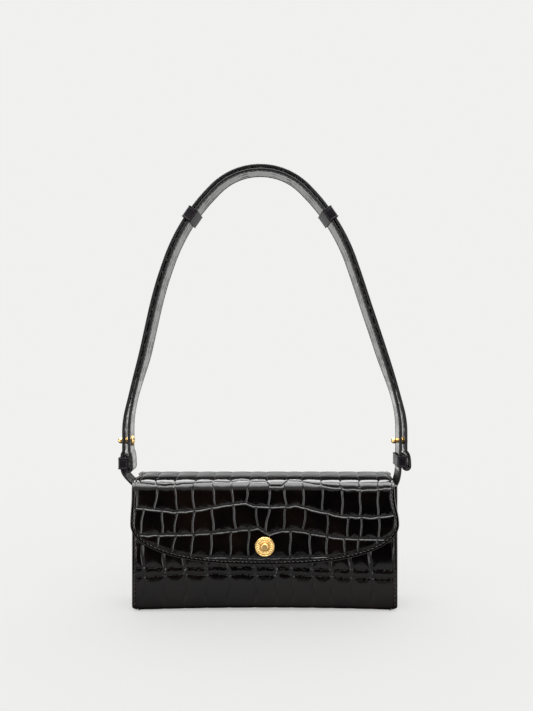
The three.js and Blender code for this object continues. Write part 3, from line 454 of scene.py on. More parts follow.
def stitch_channel(edge_gap, inset, depth=0.28, width=0.75):
    """Depth of the channel that a seam draws into the leather along an edge: a bell curve."""
    return -depth * bell(edge_gap - inset, width)


def within_border(relief, edge_gap):
    """A sheet's relief, faded out towards its edge, where the leather rolls off and the seam draws it in."""
    rolled_off = SKIVED_DEPTH * (1 - ease(edge_gap, 0, SKIVED_WIDTH)) + BORDER_SET_BACK
    faded = relief * ease(edge_gap, SCALES_FROM, SCALES_FULL)
    return faded + stitch_channel(edge_gap, STITCH_INSET) - rolled_off


SHOWN = 37.0  # height of the front that shows below the flap, where the scales are finest
HIDDEN_ROWS, SHOWN_ROWS, BASE_ROWS, FRONT_POINTS = 56, 92, 30, 461
FOLDED_RELIEF = 0.3  # share of the relief that is left where the sheet folds under
FOLD_FADES = (1, 12)  # heights between which it falls to that share
BROKEN_ROW = 3
bared, folded = front_high[2] - SHOWN, front_high[2]
walked = np.r_[np.linspace(EDGE_FULLNESS * WALL / 2, bared, HIDDEN_ROWS, endpoint=False),
               np.linspace(bared, folded, SHOWN_ROWS, endpoint=False),
               np.linspace(folded, wall_path.length, BASE_ROWS)]
far, side = np.meshgrid(walked, np.linspace(-1, 1, FRONT_POINTS), indexing="ij")
place = wall_surface(wall_path, side, far, 0)
run = front_high[2] - far
side_gap = wall_half(wall_path.at(far)[1]) - np.abs(place[..., 0])
edge_gap = np.minimum(side_gap, np.where(run > 0, far, FAR_OFF))
relief = scale_relief(place[..., 0], run, FRONT_ROWS, front_bands, seed=11, row_depth=0.26, depth=0.75,
                      spread=1.5, broken=(BROKEN_ROW,))
relief = relief * (FOLDED_RELIEF + (1 - FOLDED_RELIEF) * ease(run, *FOLD_FADES))
lift = within_border(relief, edge_gap)
front_leather = leather_sheet(
    "front_leather", wall_surface(wall_path, side, far, lift), wall_surface(wall_path, side, far, -WALL),
    [patent, edge_paint], np.stack([place[..., 0], run], -1) * MM, "body", "patent_leather", butt=("last",))
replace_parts(front_leather, "front_panel", "base_panel")

# Seams of the walls: saddle stitches of waxed dark brown thread, sunk in a channel near each side edge. They
# hold the front and the base to the side folds.
thread = finish("thread", (900, 2, (0.014, 0.010, 0.009), (0.034, 0.024, 0.019)), 0.5,
                [(2600, 1, 0.06, (1, 1, 0.4))], {})
THREAD_SUNK = 0.3
STITCH_SLANT = np.radians(7)
STITCH_RINGS, STITCH_SIDES = 7, 6
STITCH_TAPER = 0.96  # share of its section that is gone at its ends
STITCH_RISE, STITCH_DIP = 0.75, 1.5  # height of its middle and drop of its ends, in radii
SEAM_STEP = 0.5  # distance between the points of a seam's line


def rod_faces(rods):
    """Quads round rods, each a stack of rings of points, and the two ends of each rod."""
    count, rings, sides = rods.shape[:3]
    first = (np.arange(count) * rings * sides)[:, None, None]
    ends = np.stack([np.arange(sides)[::-1], (rings - 1) * sides + np.arange(sides)])
    return [(grid_faces(rings, sides, ring=True) + first).reshape(-1, 4), (ends + first).reshape(-1, sides)]


def stitches(name, lines, outs, body=None, slot=None, pitch=3.1, length=2.5, radius=0.26):
    """Rows of stitches along lines of points: each is a short rod whose ends dip into the leather.

    A stitch's middle line is an arch along the seam, and its radius falls as a half ellipse at both ends.
    """
    u = np.linspace(-1, 1, STITCH_RINGS)
    slim = (np.sqrt(1 - STITCH_TAPER * u ** 4) * radius)[:, None, None]
    high = (radius * (STITCH_RISE - STITCH_DIP * u ** 4))[:, None, None]
    reach = (u * length / 2)[:, None, None]
    angle = np.linspace(0, 2 * np.pi, STITCH_SIDES, endpoint=False)[:, None]
    rods = []
    for line, out in zip(lines, outs):
        far = np.r_[0, np.cumsum(np.linalg.norm(np.diff(line, axis=0), axis=1))]
        middles = (np.arange(int(far[-1] / pitch)) + 0.5) * pitch

        def pick(values):
            """A line's values at the middles of its stitches."""
            return np.stack([np.interp(middles, far, values[:, i]) for i in range(3)], -1)[:, None, None]

        centre, normal, along = pick(line), unit(pick(out)), unit(pick(np.gradient(line, axis=0)))
        lean = along * np.cos(STITCH_SLANT) + np.cross(along, normal) * np.sin(STITCH_SLANT)
        beside = np.cross(lean, normal)
        rods.append(centre + lean * reach + normal * high
                    + slim * (normal * np.cos(angle) + beside * np.sin(angle)))
    rods = np.vstack(rods)
    return add_piece(name, rods.reshape(-1, 3), rod_faces(rods), [thread], body)


WALL_SEAM_FROM = 3.0  # below the front's upper edge


def wall_seam(side):
    """Points of the walls' leather beside one of its side edges, and its outside directions there."""
    far = np.arange(WALL_SEAM_FROM, wall_path.length, SEAM_STEP)
    half = wall_half(wall_path.at(far)[1])
    place = side * (half - STITCH_INSET) / (half - EDGE_FULLNESS * WALL / 2)
    sunk, level = (wall_surface(wall_path, place, far, lift) for lift in (-THREAD_SUNK, 0))
    return sunk, level - sunk


stitches("wall_stitching", *zip(wall_seam(-1), wall_seam(1)), "body", "patent_leather")

# Back and flap top: a second sheet of patent leather that stands up the back, rolls over the rear edge and
# lies on top. The flap's own sheet goes on from it.
REAR_ROLL_R = 3.0
LEFT_ROLL_HALF = HALF_WIDTH - 0.5
RIGHT_ROLL_HALF = HALF_WIDTH - 2.6  # narrower, so that the flap passes the stud's ball
WAIST_HALF = HALF_WIDTH - 2.0  # between the straps
WAIST_NEAR, WAIST_FAR = 2.5, 10.0  # its ends slope between these distances from the wallet's middle
FLAP_WALL = 1.8
BEAD = EDGE_FULLNESS * FLAP_WALL / 2
SEAM_Y = -8.0  # where the two sheets join, hidden in the pattern
LEVEL_TO_Y, HANGING_FROM = 4.0, 13.0  # the top is level up to here, and hangs from this far below its level
flap_low, flap_high = corners("flap_front")
TOP_Z = corners("flap_top")[1][2]
FLAP_FACE, TIP_Z = flap_low[1:]


def bend(*corners_of_curve, steps=60):
    """Cubic curve through its end points, drawn towards its two middle ones."""
    a, b, c, d = np.array(corners_of_curve, float)
    t = np.linspace(0, 1, steps)[:, None]
    return (1 - t) ** 3 * a + 3 * t * (1 - t) ** 2 * b + 3 * t ** 2 * (1 - t) * c + t ** 3 * d


# The top leans forward more and more until it hangs, as thick leather does, with no tight corner.
over_path = Trace(
    [back_high[1], base_high[2]],
    arc((back_high[1] - REAR_ROLL_R, TOP_Z - REAR_ROLL_R), REAR_ROLL_R, 0, 90),
    bend((LEVEL_TO_Y, TOP_Z), (-19.0, TOP_Z), (FLAP_FACE, TOP_Z - 1), (FLAP_FACE, TOP_Z - HANGING_FROM)),
    [FLAP_FACE, TIP_Z])
OVER_RUN = TIP_Z + over_path.length  # run is the height on the flap's front, counted on over top and back
SEAM_RUN = OVER_RUN - np.interp(-SEAM_Y, -over_path.points[:, 0], over_path.far)
# Long creases as (x, run): four on the flap, one on top, the rest down the back to its lower seam.
OVER_ROWS = [
    [(-98, 41), (-29, 40.7), (0, 40), (33, 41), (98, 41)],
    [(-98, 56.6), (-92.8, 56.8), (-51, 57.7), (-29, 59.6), (-17, 60.8), (-4.8, 62), (-0.5, 59.9), (3.7, 57.2),
     (7.4, 59), (13.4, 60.2), (25.6, 60.2), (32.8, 58.4), (56.5, 54.6), (84.4, 53.9), (98, 54)],
    [(-98, 77.6), (-66.4, 73.9), (-48.1, 75.4), (-29, 79), (-14.5, 80.8), (-8.6, 78.4), (3.8, 77.8),
     (26, 78.4), (33, 76), (56.5, 70.7), (80, 70), (98, 72.2)],
    [(-98, 96.6), (-90.7, 96.4), (-72.6, 93.9), (-36.7, 98.3), (-24.7, 97.4), (-17, 101.6), (-9.7, 98.3),
     (0.2, 99), (3.7, 93.7), (12.6, 93.7), (17.6, 100), (26.8, 98.3), (32.8, 96.4), (50.7, 92.6),
     (72.7, 90.8), (98, 92.8)],
    [(-110, 139), (-60, 140.5), (10, 139), (60, 141), (110, 140)]]
OVER_ROWS += [[(-CREASE_END, r), (-45, r + 1.6), (10, r - 1.4), (60, r + 1.2), (CREASE_END, r)]
              for r in (156, 173, 190, 206)]
OVER_ROWS += [[(-CREASE_END, OVER_RUN), (CREASE_END, OVER_RUN)]]
# Short creases between those of the flap, as pairs of x at the lower and at the upper end.
over_bands = even_bands(OVER_ROWS, seed=21)
over_bands[1] = [
    (-78.5, -78.3), (-68.9, -65.3), (-55.2, -51.9), (-39.8, -38.8), (-25.4, -24.6), (-12.4, -11.5),
    (18.6, 18.9), (33.1, 33.1), (45.5, 45.5), (58.6, 58.6), (68.6, 68.6), (83, 83)]
over_bands[0] = [(x + 1.5, x) for x, _ in over_bands[1]]
over_bands[2] = [
    (-91.7, -88.9), (-75, -75.3), (-66.8, -64.6), (-53.4, -51.9), (-37.4, -38.8), (-21.2, -23.3),
    (-5.1, -6.6), (0, 3.7), (13.7, 15.2), (28, 30.4), (46.2, 46.2), (60.9, 60.9), (70.9, 70.9), (84, 84)]
over_bands[3] = [
    (-94.7, -94.7), (-81.1, -78), (-64, -66.5), (-51.9, -53.4), (-36.1, -39.1), (-23.3, -24.5),
    (-14.2, -10.3), (2.8, 3.9), (16.1, 13.3), (28.5, 28.2), (42.4, 42.4), (57, 57), (70.1, 70.1),
    (83.2, 83.2)]
over_bands[4] = [(x, 1.06 * x if x > 0 else x) for x in (
    -92.5, -80.5, -66.3, -51.6, -37.8, -25.4, -10.8, 1.5, 16.9, 27.7, 41.6, 55.5, 69.3, 83.2)]


def over_place(x, run, lift):
    """The back and flap leather at x and run, moved out by lift."""
    y, z = over_path.at(OVER_RUN - run, lift)
    return np.stack([x + 0 * y, y, z + np.where(y > 0, base_arch(x, z), 0)], -1)


ROLL_OPENING = 0.5  # the creases are this much deeper on the roll
ROLLED = (86, 91, 103, 107)  # run where the roll begins, is full, fades and ends
TOP_PRESS = 0.25  # the scales lie flatter by this share on top
ON_TOP = SEAM_RUN + np.array([-4, 2, 25, 30])


def plateau(value, start, full, fading, end):
    """0 outside start and end, 1 from full to fading, eased between."""
    return ease(value, start, full) * (1 - ease(value, fading, end))


def over_relief(x, run, edge_gap):
    """Scales whose creases open on the roll and that lie flatter on top, within the sheet's border."""
    opening = ROLL_OPENING * plateau(run, *ROLLED)
    scales = scale_relief(x, run, OVER_ROWS, over_bands, seed=31, row_depth=0.65 + opening,
                          depth=0.42 + opening, spread=0.78)
    return within_border(scales * (1 - TOP_PRESS * plateau(run, *ON_TOP)), edge_gap)


WIDEST_Z = TOP_Z - 33.0
FLARE = 22.0  # height over which the flap widens
FLAP_HALF = flap_high[0]


def over_half(run, side):
    """Half width of the sheet on one side: the back, a waist between the straps, the roll, the flap."""
    y = run - SEAM_RUN + SEAM_Y
    roll = np.where(np.asarray(side) < 0, LEFT_ROLL_HALF, RIGHT_ROLL_HALF)
    waist = (WAIST_HALF - roll) * ease(y, -WAIST_FAR, -WAIST_NEAR)
    back = (HALF_WIDTH - WAIST_HALF) * ease(y, WAIST_NEAR, WAIST_FAR)
    return roll + (waist + back) + (FLAP_HALF - roll) * (1 - ease(run, WIDEST_Z, WIDEST_Z + FLARE))


BACK_ROWS, BACK_POINTS = 209, 361
run, side = np.meshgrid(
    np.linspace(OVER_RUN, SEAM_RUN, BACK_ROWS), np.linspace(-1, 1, BACK_POINTS), indexing="ij")
x = side * (over_half(run, side) - BEAD)
lift = over_relief(x, run, over_half(run, side) - np.abs(x))
back_leather = leather_sheet(
    "back_leather", over_place(x, run, lift), over_place(x, run, -FLAP_WALL), [patent, edge_paint],
    np.stack([x, run], -1) * MM, butt=("first", "last"))
seam_run = np.arange(OVER_RUN - 1, SEAM_RUN, -SEAM_STEP)
seam_x = [turn * (over_half(seam_run, turn) - STITCH_INSET) for turn in (-1, 1)]
back_seams = [over_place(x, seam_run, -THREAD_SUNK) for x in seam_x]
back_outs = [over_place(x, seam_run, 0) - line for x, line in zip(seam_x, back_seams)]
back_stitching = stitches("back_stitching", back_seams, back_outs)
for made in (back_leather, back_stitching):
    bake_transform(made)
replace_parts(back_leather, "back_panel", "flap_top")

# Flap: the leather goes on over the front roll and hangs down the front to a full curved edge, with a seam
# all round.
TIP_POWER = 2.6
FLAP_ROWS, FLAP_POINTS, EDGE_POINTS = 128, 641, 400


def lower_edge(count, inset):
    """Points on the flap's lower edge, evenly spaced: |x / half|^TIP_POWER + (drop / depth)^2 = 1."""
    t = np.linspace(0, np.pi, 4001)
    x = -np.sign(np.cos(t)) * np.abs(np.cos(t)) ** (2 / TIP_POWER) * (FLAP_HALF - inset)
    z = WIDEST_Z - (WIDEST_Z - TIP_Z - inset) * np.sin(t)
    far = np.r_[0, np.cumsum(np.hypot(np.diff(x), np.diff(z)))]
    even = np.linspace(0, far[-1], count)
    return np.interp(even, far, x), np.interp(even, far, z)


def flap_edge(inset):
    """The flap's whole edge at some distance inside it, as x and run, from the left seam to the right one."""
    down = np.arange(SEAM_RUN, WIDEST_Z, -SEAM_STEP)
    x, z = lower_edge(EDGE_POINTS, inset)
    left, right = (over_half(down, side) - inset for side in (-1, 1))
    return np.r_[-left, x, right[::-1]], np.r_[down, z, down[::-1]]


def flap_grid(side, top, bottom, rows, inset):
    """Even grid of x and run over the flap between two lines, given as run at each side from -1 to 1."""
    run = top + (bottom - top) * np.linspace(0, 1, rows)[:, None]
    return side * (over_half(run, side) - inset), run


def flap_sheet(name, x, run, butt):
    """A stretch of the flap's leather, with its scales and the channel of its seam."""
    edge_x, edge_run = flap_edge(0)
    edge_gap = np.array([np.hypot(a[:, None] - edge_x, b[:, None] - edge_run).min(1) for a, b in zip(x, run)])
    made = leather_sheet(
        name, over_place(x, run, over_relief(x, run, edge_gap)), over_place(x, run, -FLAP_WALL),
        [patent, edge_paint], np.stack([x, run], -1) * MM, butt=butt)
    return made


# The sheet is worked out in two stretches that meet in the long crease under its upper scales.
def meeting(side):
    """The crease where the stretches meet, as run at each side from -1 to 1."""
    return crease_line(OVER_ROWS[2], side * FLAP_HALF)


even_side = np.linspace(-1, 1, FLAP_POINTS)
shoulder_grid = flap_grid(even_side, SEAM_RUN, meeting(even_side), FLAP_ROWS, BEAD)
flap_shoulder = flap_sheet("flap_shoulder", *shoulder_grid, butt=("first", "last"))
edge_x, edge_z = lower_edge(FLAP_POINTS, BEAD)
edge_side = edge_x / (FLAP_HALF - BEAD)
lower_grid = flap_grid(edge_side, meeting(edge_side), edge_z, FLAP_ROWS, BEAD)
flap_leather = flap_sheet("flap_leather", *lower_grid, butt=("first",))
seam_sunk, seam_level = (over_place(*flap_edge(STITCH_INSET), lift) for lift in (-THREAD_SUNK, 0))
flap_stitching = stitches("flap_stitching", [seam_sunk], [seam_level - seam_sunk])
for made in (flap_shoulder, flap_stitching):
    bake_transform(made)
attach(flap_leather, "flap_front")
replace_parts(flap_leather, "flap_front")

# Flap lining: a thin sheet of taupe microfibre glued under the flap, from near the rear roll to the edge.
LINING_T = 0.55
LINING_INSET = BEAD + 0.6
GLUE_GAP = 0.02
LINING_ROWS, LINING_POINTS = 65, 129
lining_cloth = finish(
    "lining_cloth", (120, 4, (0.17, 0.145, 0.125), (0.235, 0.205, 0.18)), 0.9,
    [(2400, 3, 0.08), (180, 2, 0.15)],
    {"Sheen Weight": 0.35, "Sheen Roughness": 0.4, "Sheen Tint": (0.8, 0.74, 0.68, 1)})
LINING_REAR_RUN = SEAM_RUN + 19
edge_x, edge_z = lower_edge(LINING_POINTS, LINING_INSET)
x, run = flap_grid(edge_x / (FLAP_HALF - LINING_INSET), LINING_REAR_RUN, edge_z, LINING_ROWS, LINING_INSET)
flap_lining = leather_sheet(
    "flap_lining", over_place(x, run, -FLAP_WALL - LINING_T), over_place(x, run, -FLAP_WALL - GLUE_GAP),
    [lining_cloth, lining_cloth], np.stack([x, run], -1) * MM)
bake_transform(flap_lining)
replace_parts(flap_lining, "flap_top_lining", "flap_front_lining")

# Side gussets: folded patent leather between front and back, sewn in at both, and drawn in so that the
# strap's end lies in the fold.
GUSSET_T = 1.3
GUSSET_RIM = 98.0
GUSSET_RECESS, RECESS_FROM, RECESS_FULL = 5.35, 2.6, 9.0  # depth of the fold, and heights where it begins
FOLD_FLOOR = 0.68  # share of the fold's width that is its level floor
GUSSET_WAVE, WAVE_SPAN = 0.125, 18  # soft waves of its leather
FREE_HEIGHTS, FREE_WIDTH = (4, 12), 0.3  # where the waves begin, over its foot and beside its seams
RIM_INSET = 0.4  # inside the walls' rounded corners
GUSSET_ROWS, GUSSET_POINTS = 129, 65
GUSSET_SET_BACK = 0.25
GUSSET_FOOT_Z, GUSSET_TOP_Z = 2.7, TOP_Z - 5.6
GUSSET_HALF = 0.99  # share of the inside's depth that it fills
GUSSET_CORNER_R = 3.3
gusset_low, gusset_high = corners("gusset_right")


def gusset_place(side, along, height, lift):
    """Gusset at along -1 (front) to 1 (back) and a height: a level floor between two eased slopes."""
    sunk = np.clip(gusset_low[2] + GUSSET_CORNER_R - height, 0, GUSSET_CORNER_R)
    half = gusset_high[1] - GUSSET_CORNER_R + np.sqrt(GUSSET_CORNER_R ** 2 - sunk ** 2)
    y = along * half
    recess = GUSSET_RECESS * (1 - ease(np.abs(along), FOLD_FLOOR, 1)) * ease(height, RECESS_FROM, RECESS_FULL)
    free = ease(height, *FREE_HEIGHTS) * ease(1 - np.abs(along), 0, FREE_WIDTH)
    soft = GUSSET_WAVE * ripple(y, height, WAVE_SPAN, seed=41) * free
    rim = np.minimum(GUSSET_RIM, wall_half(height) - RIM_INSET)
    return np.stack([side * (rim - recess - GUSSET_SET_BACK - soft + lift), y, height], -1)


height, along = np.meshgrid(np.linspace(GUSSET_FOOT_Z, GUSSET_TOP_Z, GUSSET_ROWS),
                            np.linspace(-GUSSET_HALF, GUSSET_HALF, GUSSET_POINTS), indexing="ij")
for name, side in (("left", -1), ("right", 1)):
    faces = [gusset_place(side, along, height, lift) for lift in (0, -GUSSET_T)]
    gusset = leather_sheet("side_fold_" + name, *faces, [patent, edge_paint],
                           np.stack([along * gusset_high[1], height], -1) * MM, "body", "patent_leather")
    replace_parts(gusset, "gusset_" + name)

# Snap: a gold cap on the flap with a rim, a ring of beads and a button, a nickel socket under the lining, and
# a post on the front panel with a washer inside. All are turned or struck metal.
def gold_finish(name, smooth, hazy):
    """Warm gold plating whose roughness runs from smooth to hazy in a fine cloud."""
    return finish(name, (90, 2, (0.72, 0.46, 0.16), (0.82, 0.57, 0.24)), (420, 3, smooth, hazy),
                  [(1500, 2, 0.006)], {"Metallic": 1.0})


gold = gold_finish("polished_gold", 0.14, 0.26)
struck_gold = gold_finish("struck_gold", 0.36, 0.48)
nickel = finish("nickel_plating", (150, 2, (0.5, 0.48, 0.45), (0.64, 0.62, 0.58)), (500, 3, 0.2, 0.34),
                [(1700, 2, 0.006)], {"Metallic": 1.0})


def fillet(points, radius, steps=4):
    """A profile whose inner corners are rounded by short curves that leave the sides a radius before them."""
    points = np.asarray(points, float)
    t = np.linspace(0, 1, steps + 1)[:, None]
    out = [points[:1]]
    for before, corner, after in zip(points[:-2], points[1:-1], points[2:]):
        lead, trail = corner - before, after - corner
        start = corner - lead * min(radius / np.linalg.norm(lead), 0.48)
        end = corner + trail * min(radius / np.linalg.norm(trail), 0.48)
        out.append((1 - t) ** 2 * start + 2 * t * (1 - t) * corner + t ** 2 * end)
    return np.vstack(out + [points[-1:]])


def torus_faces(rows, columns):
    """Quads of a grid of points that is closed in both directions."""
    return grid_faces(rows + 1, columns, ring=True) % (rows * columns)


def turned(name, profile, centre, axis, material, body, node, relief=None, steps=56):
    """Piece turned about an axis: its profile is pairs of radius and distance along the axis.

    The profile runs along the axis from its back to its front, from the middle to the middle, or is a closed
    loop. relief(radius, angle) is added along the axis, for struck ornament.
    """
    profile = np.asarray(profile, float)
    ring = np.allclose(profile[0], profile[-1])
    profile = profile[:-1] if ring else np.maximum(profile, (0.03, -np.inf))
    angle = np.linspace(0, 2 * np.pi, steps, endpoint=False)
    axis = np.asarray(axis, float)
    across = unit(np.cross(axis, (0, 0, 1)))
    up = np.cross(axis, across)
    radius, along = profile[:, :1], np.repeat(profile[:, 1:], steps, 1)
    if relief is not None:
        along = along + relief(radius, angle)
    points = (np.asarray(centre) + axis * along[..., None]
              + radius[..., None] * (across * np.cos(angle)[:, None] + up * np.sin(angle)[:, None]))
    faces = [torus_faces(len(profile), steps)] if ring else rod_faces(points[None])
    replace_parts(add_piece(name, points.reshape(-1, 3), faces, [material], body), node)


cap_low, cap_high = corners("snap_cap")
SNAP_Z = (cap_low[2] + cap_high[2]) / 2
CAP_R = cap_high[0]
CAP_RISE = FLAP_FACE - cap_low[1]
CAP_BEADS, BEAD_RISE = 22, 0.38
BEADS_R, BEADS_HALF = 0.72 * CAP_R, 0.95  # middle of their ring, and half its width
CHANNEL = 1.3  # height of the ring's ground over the flap
socket_low, socket_high = corners("snap_socket")
post_low, post_high = corners("snap_post")
washer_low, washer_high = corners("snap_post_washer")


def bead_ring(radius, angle):
    """A ring of small beads in the cap's channel."""
    across = np.clip(1 - ((radius - BEADS_R) / BEADS_HALF) ** 2, 0, 1)
    return BEAD_RISE * across * np.abs(np.cos(CAP_BEADS / 2 * angle)) ** 0.8


TO_FRONT, TO_BACK = (0, -1, 0), (0, 1, 0)
cap_face = np.vstack([
    fillet([(0, -2.6), (2.4, -2.6), (2.4, 0), (CAP_R - 0.2, 0), (CAP_R, 0.25), (CAP_R, 0.95),
            (CAP_R - 0.35, 1.5), (CAP_R - 0.85, 1.55), (CAP_R - 1.0, CHANNEL)], 0.2),
    np.stack([np.linspace(CAP_R - 1.05, 4.2, 19), np.full(19, CHANNEL)], -1),
    fillet([(4.15, CHANNEL), (4.0, 1.7), (3.65, 1.7), (3.4, 1.0), (2.9, 1.0), (2.65, CAP_RISE - 0.3),
            (2.1, CAP_RISE - 0.05), (0, CAP_RISE)], 0.25)])
turned("cap_of_snap", cap_face, (0, FLAP_FACE, SNAP_Z), TO_FRONT, struck_gold, "flap_front",
       "snap_cap", relief=bead_ring, steps=240)
SOCKET_R, SOCKET_T = socket_high[0], socket_high[1] - socket_low[1]
socket_face = fillet([
    (2.0, 0), (SOCKET_R, 0), (SOCKET_R - 0.2, 0.9 * SOCKET_T), (4.3, SOCKET_T), (3.9, 0.7), (3.1, 0.7),
    (2.7, SOCKET_T), (2.0, 0.8 * SOCKET_T), (2.0, 0)], 0.2)
turned("socket_of_snap", socket_face, (0, socket_low[1], SNAP_Z), TO_BACK, nickel, "flap_front",
       "snap_socket")
POST_R, POST_T = post_high[0], post_high[1] - post_low[1]
post_face = fillet([
    (0, -0.2), (POST_R, -0.2), (POST_R, 0.35), (1.15, 0.8), (1.2, 1.2), (POST_R, 1.6),
    (POST_R - 0.3, 0.97 * POST_T), (0, POST_T)], 0.2)
turned("post_of_snap", post_face, (0, post_high[1], SNAP_Z), TO_FRONT, gold, "body", "snap_post")
WASHER_R, WASHER_T = washer_high[0], washer_high[1] - washer_low[1]
washer_face = fillet([
    (0, 0), (WASHER_R, 0), (WASHER_R, 0.3), (WASHER_R - 0.4, WASHER_T), (3.4, WASHER_T), (3.0, 0.45),
    (0, 0.45)], 0.2)
turned("washer_of_snap", washer_face, (0, washer_low[1], SNAP_Z), TO_BACK, nickel, "body",
       "snap_post_washer")

# Linings: sheets of taupe microfibre inside the front, the back and the base. They are glued on, so that
# their faces wave a little.
SHEET_WAVE, SHEET_WAVE_LENGTH = 0.1, 26
HEM_PRESS, HEM_WIDTH = 0.16, 0.5
SHEET_POINTS, SHEET_ROWS = 161, 81


def thin_sheet(name, node, axis, side, finishes, slot, seed, dip=0.0, hem=0.0):
    """A thin sheet in the place of a node's flat box, whose face that shows has soft waves.

    axis is the box's thin direction (1 is Y, 2 is Z) and side its end that shows. The far border in the other
    direction dips in the middle as a parabola, and a line is pressed along it at a distance hem.
    """
    low, high = corners(node)
    rise = 3 - axis
    edge = EDGE_FULLNESS / 2 * (high - low)[axis]
    x, far = np.meshgrid(np.linspace(low[0] + edge, high[0] - edge, SHEET_POINTS),
                         np.linspace(low[rise] + edge, high[rise] - edge, SHEET_ROWS))
    pressed = SHEET_WAVE * (1 + ripple(x, far, SHEET_WAVE_LENGTH, seed))
    pressed = pressed + HEM_PRESS * bell(high[rise] - far - hem, HEM_WIDTH) * (hem > 0)
    shown, glued = (high, low) if side > 0 else (low, high)
    faces = []
    for depth in (shown[axis] - side * pressed, glued[axis]):
        points = np.empty(x.shape + (3,))
        points[..., 0], points[..., axis] = x, depth
        points[..., rise] = far - dip * (1 - (x / high[0]) ** 2) * (far - low[rise]) / (high - low)[rise]
        faces.append(points)
    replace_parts(leather_sheet(name, *faces, finishes, np.stack([x, far], -1) * MM, "body", slot), node)


FRONTWARD, BACKWARD, UPWARD = (1, -1), (1, 1), (2, 1)  # axis and side
for seed, (wall, facing) in enumerate((("front", BACKWARD), ("back", FRONTWARD), ("base", UPWARD)), 61):
    thin_sheet("lining_of_" + wall, wall + "_lining", *facing, [lining_cloth, lining_cloth], "lining", seed)

# Card pockets: three stepped tiers of satin black leather on the back lining, with a pressed line under each
# mouth and seams at both ends and in the middle, which make two pockets of each.
def glazed_leather(name, smooth, hazy, pore_depth, shine=0.5, coat=0.0):
    """Glazed black leather with fine pores; its roughness runs from smooth to hazy in patches."""
    return finish(
        name, (60, 3, (0.007, 0.0055, 0.0075), (0.015, 0.0115, 0.0145)), (60, 3, smooth, hazy),
        [(1500, 3, pore_depth), (420, 2, pore_depth)],
        {"IOR": 1.5, "Specular IOR Level": shine, "Coat Weight": coat, "Coat Roughness": 0.08})


pocket_leather = glazed_leather("pocket_leather", 0.34, 0.5, 0.04)
CARD_SEAM = 2.0  # from the pockets' ends
MOUTH_DIP, MOUTH_HEM = 0.9, 2.2
CARD_TIERS = ["card_pocket_" + tier for tier in ("rear", "middle", "front")]
FINE_STITCH = {"pitch": 2.6, "length": 2.1, "radius": 0.2}
FINE_SUNK = 0.1
card_lines = []
for tier, node in enumerate(CARD_TIERS):
    thin_sheet(node.replace("pocket", "slot"), node, *FRONTWARD, [pocket_leather, edge_paint],
               "pocket_leather", 71 + tier, dip=MOUTH_DIP, hem=MOUTH_HEM)
    low, high = corners(node)
    bared = corners(CARD_TIERS[tier + 1])[1][2] if tier < 2 else low[2]
    for x in (low[0] + CARD_SEAM, 0, high[0] - CARD_SEAM):
        z = np.arange(bared + 1, high[2] - 2, SEAM_STEP)
        card_lines.append(np.stack([x + 0 * z, low[1] + FINE_SUNK + 0 * z, z], -1))
stitches("card_stitching", card_lines, [0 * line + TO_FRONT for line in card_lines],
         "body", "pocket_leather", **FINE_STITCH)

# Coin pouch: satin leather folded into an open-topped pouch between the side folds, with a seam round its
# mouth that holds the zip.
POUCH_WALL = 1.2
POUCH_RIM = POUCH_WALL / 2
POUCH_CORNER = 2.6
CORNER_POINTS, SIDE_POINTS = 8, 120  # of each rounded corner and each long side of its outline
POUCH_FULLNESS, FULLNESS_LENGTH = 0.22, 45  # how far its walls bulge
INNER_FOOT_Z = 20  # inside, the wall's points below this height stand higher, clear of the floor
MOUTH_SEAM, MOUTH_SEAM_END = 2.2, 4.0  # seam below the mouth, and from its ends
pouch_low, pouch_high = corners("divider_pouch")


def pouch_plan():
    """Outline of the pouch seen from above, as points of an inner rectangle and directions out of it."""
    core = pouch_high[:2] - POUCH_CORNER
    turns = np.radians(np.linspace(0, 90, CORNER_POINTS))
    spots, outs = [], []
    for quarter, (x, y) in enumerate(((1, 1), (-1, 1), (-1, -1), (1, -1))):
        angle = turns + quarter * np.pi / 2
        spots.append(np.tile(core * (x, y), (CORNER_POINTS, 1)))
        outs.append(np.stack([np.cos(angle), np.sin(angle)], -1))
        if quarter % 2 == 0:
            along = np.linspace(1, -1, SIDE_POINTS + 2)[1:-1] * core[0] * x
            spots.append(np.stack([along, np.full(SIDE_POINTS, core[1] * y)], -1))
            outs.append(np.tile((0.0, y), (SIDE_POINTS, 1)))
    return np.vstack(spots), np.vstack(outs)


pouch_foot, pouch_mouth = pouch_low[2], pouch_high[2]
wall_heights = np.linspace(pouch_foot + 2.2, pouch_mouth - POUCH_RIM, 30)
inner_heights = wall_heights[::-1] + POUCH_WALL * (wall_heights[::-1] < INNER_FOOT_Z)
rim_angle = np.linspace(0, np.pi, 9)[1:-1]
pouch_profile = np.vstack([
    [(2.2, pouch_foot), (1.0, pouch_foot + 0.3), (0.25, pouch_foot + 1.0)],
    np.stack([0 * wall_heights, wall_heights], -1),
    np.stack([POUCH_RIM * (1 - np.cos(rim_angle)), pouch_mouth - POUCH_RIM * (1 - np.sin(rim_angle))], -1),
    np.stack([0 * inner_heights + POUCH_WALL, inner_heights], -1),
    [(1.5, pouch_foot + 2.2), (2.2, pouch_foot + 1.4)]])
spot, out = pouch_plan()
inset, height = pouch_profile[:, :1], pouch_profile[:, 1:]
share_up = np.clip((height - pouch_foot) / (pouch_mouth - pouch_foot), 0, 1)
swollen = POUCH_FULLNESS * np.sin(np.pi * share_up) * ripple(spot[:, 0], height, FULLNESS_LENGTH, 81)
reach = (POUCH_CORNER - inset + swollen)[..., None]
pouch_points = np.concatenate([spot + out * reach, height[..., None] + 0 * reach], -1)
pouch = add_piece("coin_pouch", pouch_points.reshape(-1, 3), rod_faces(pouch_points[None]),
                  [pocket_leather], "body")
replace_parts(pouch, "divider_pouch")
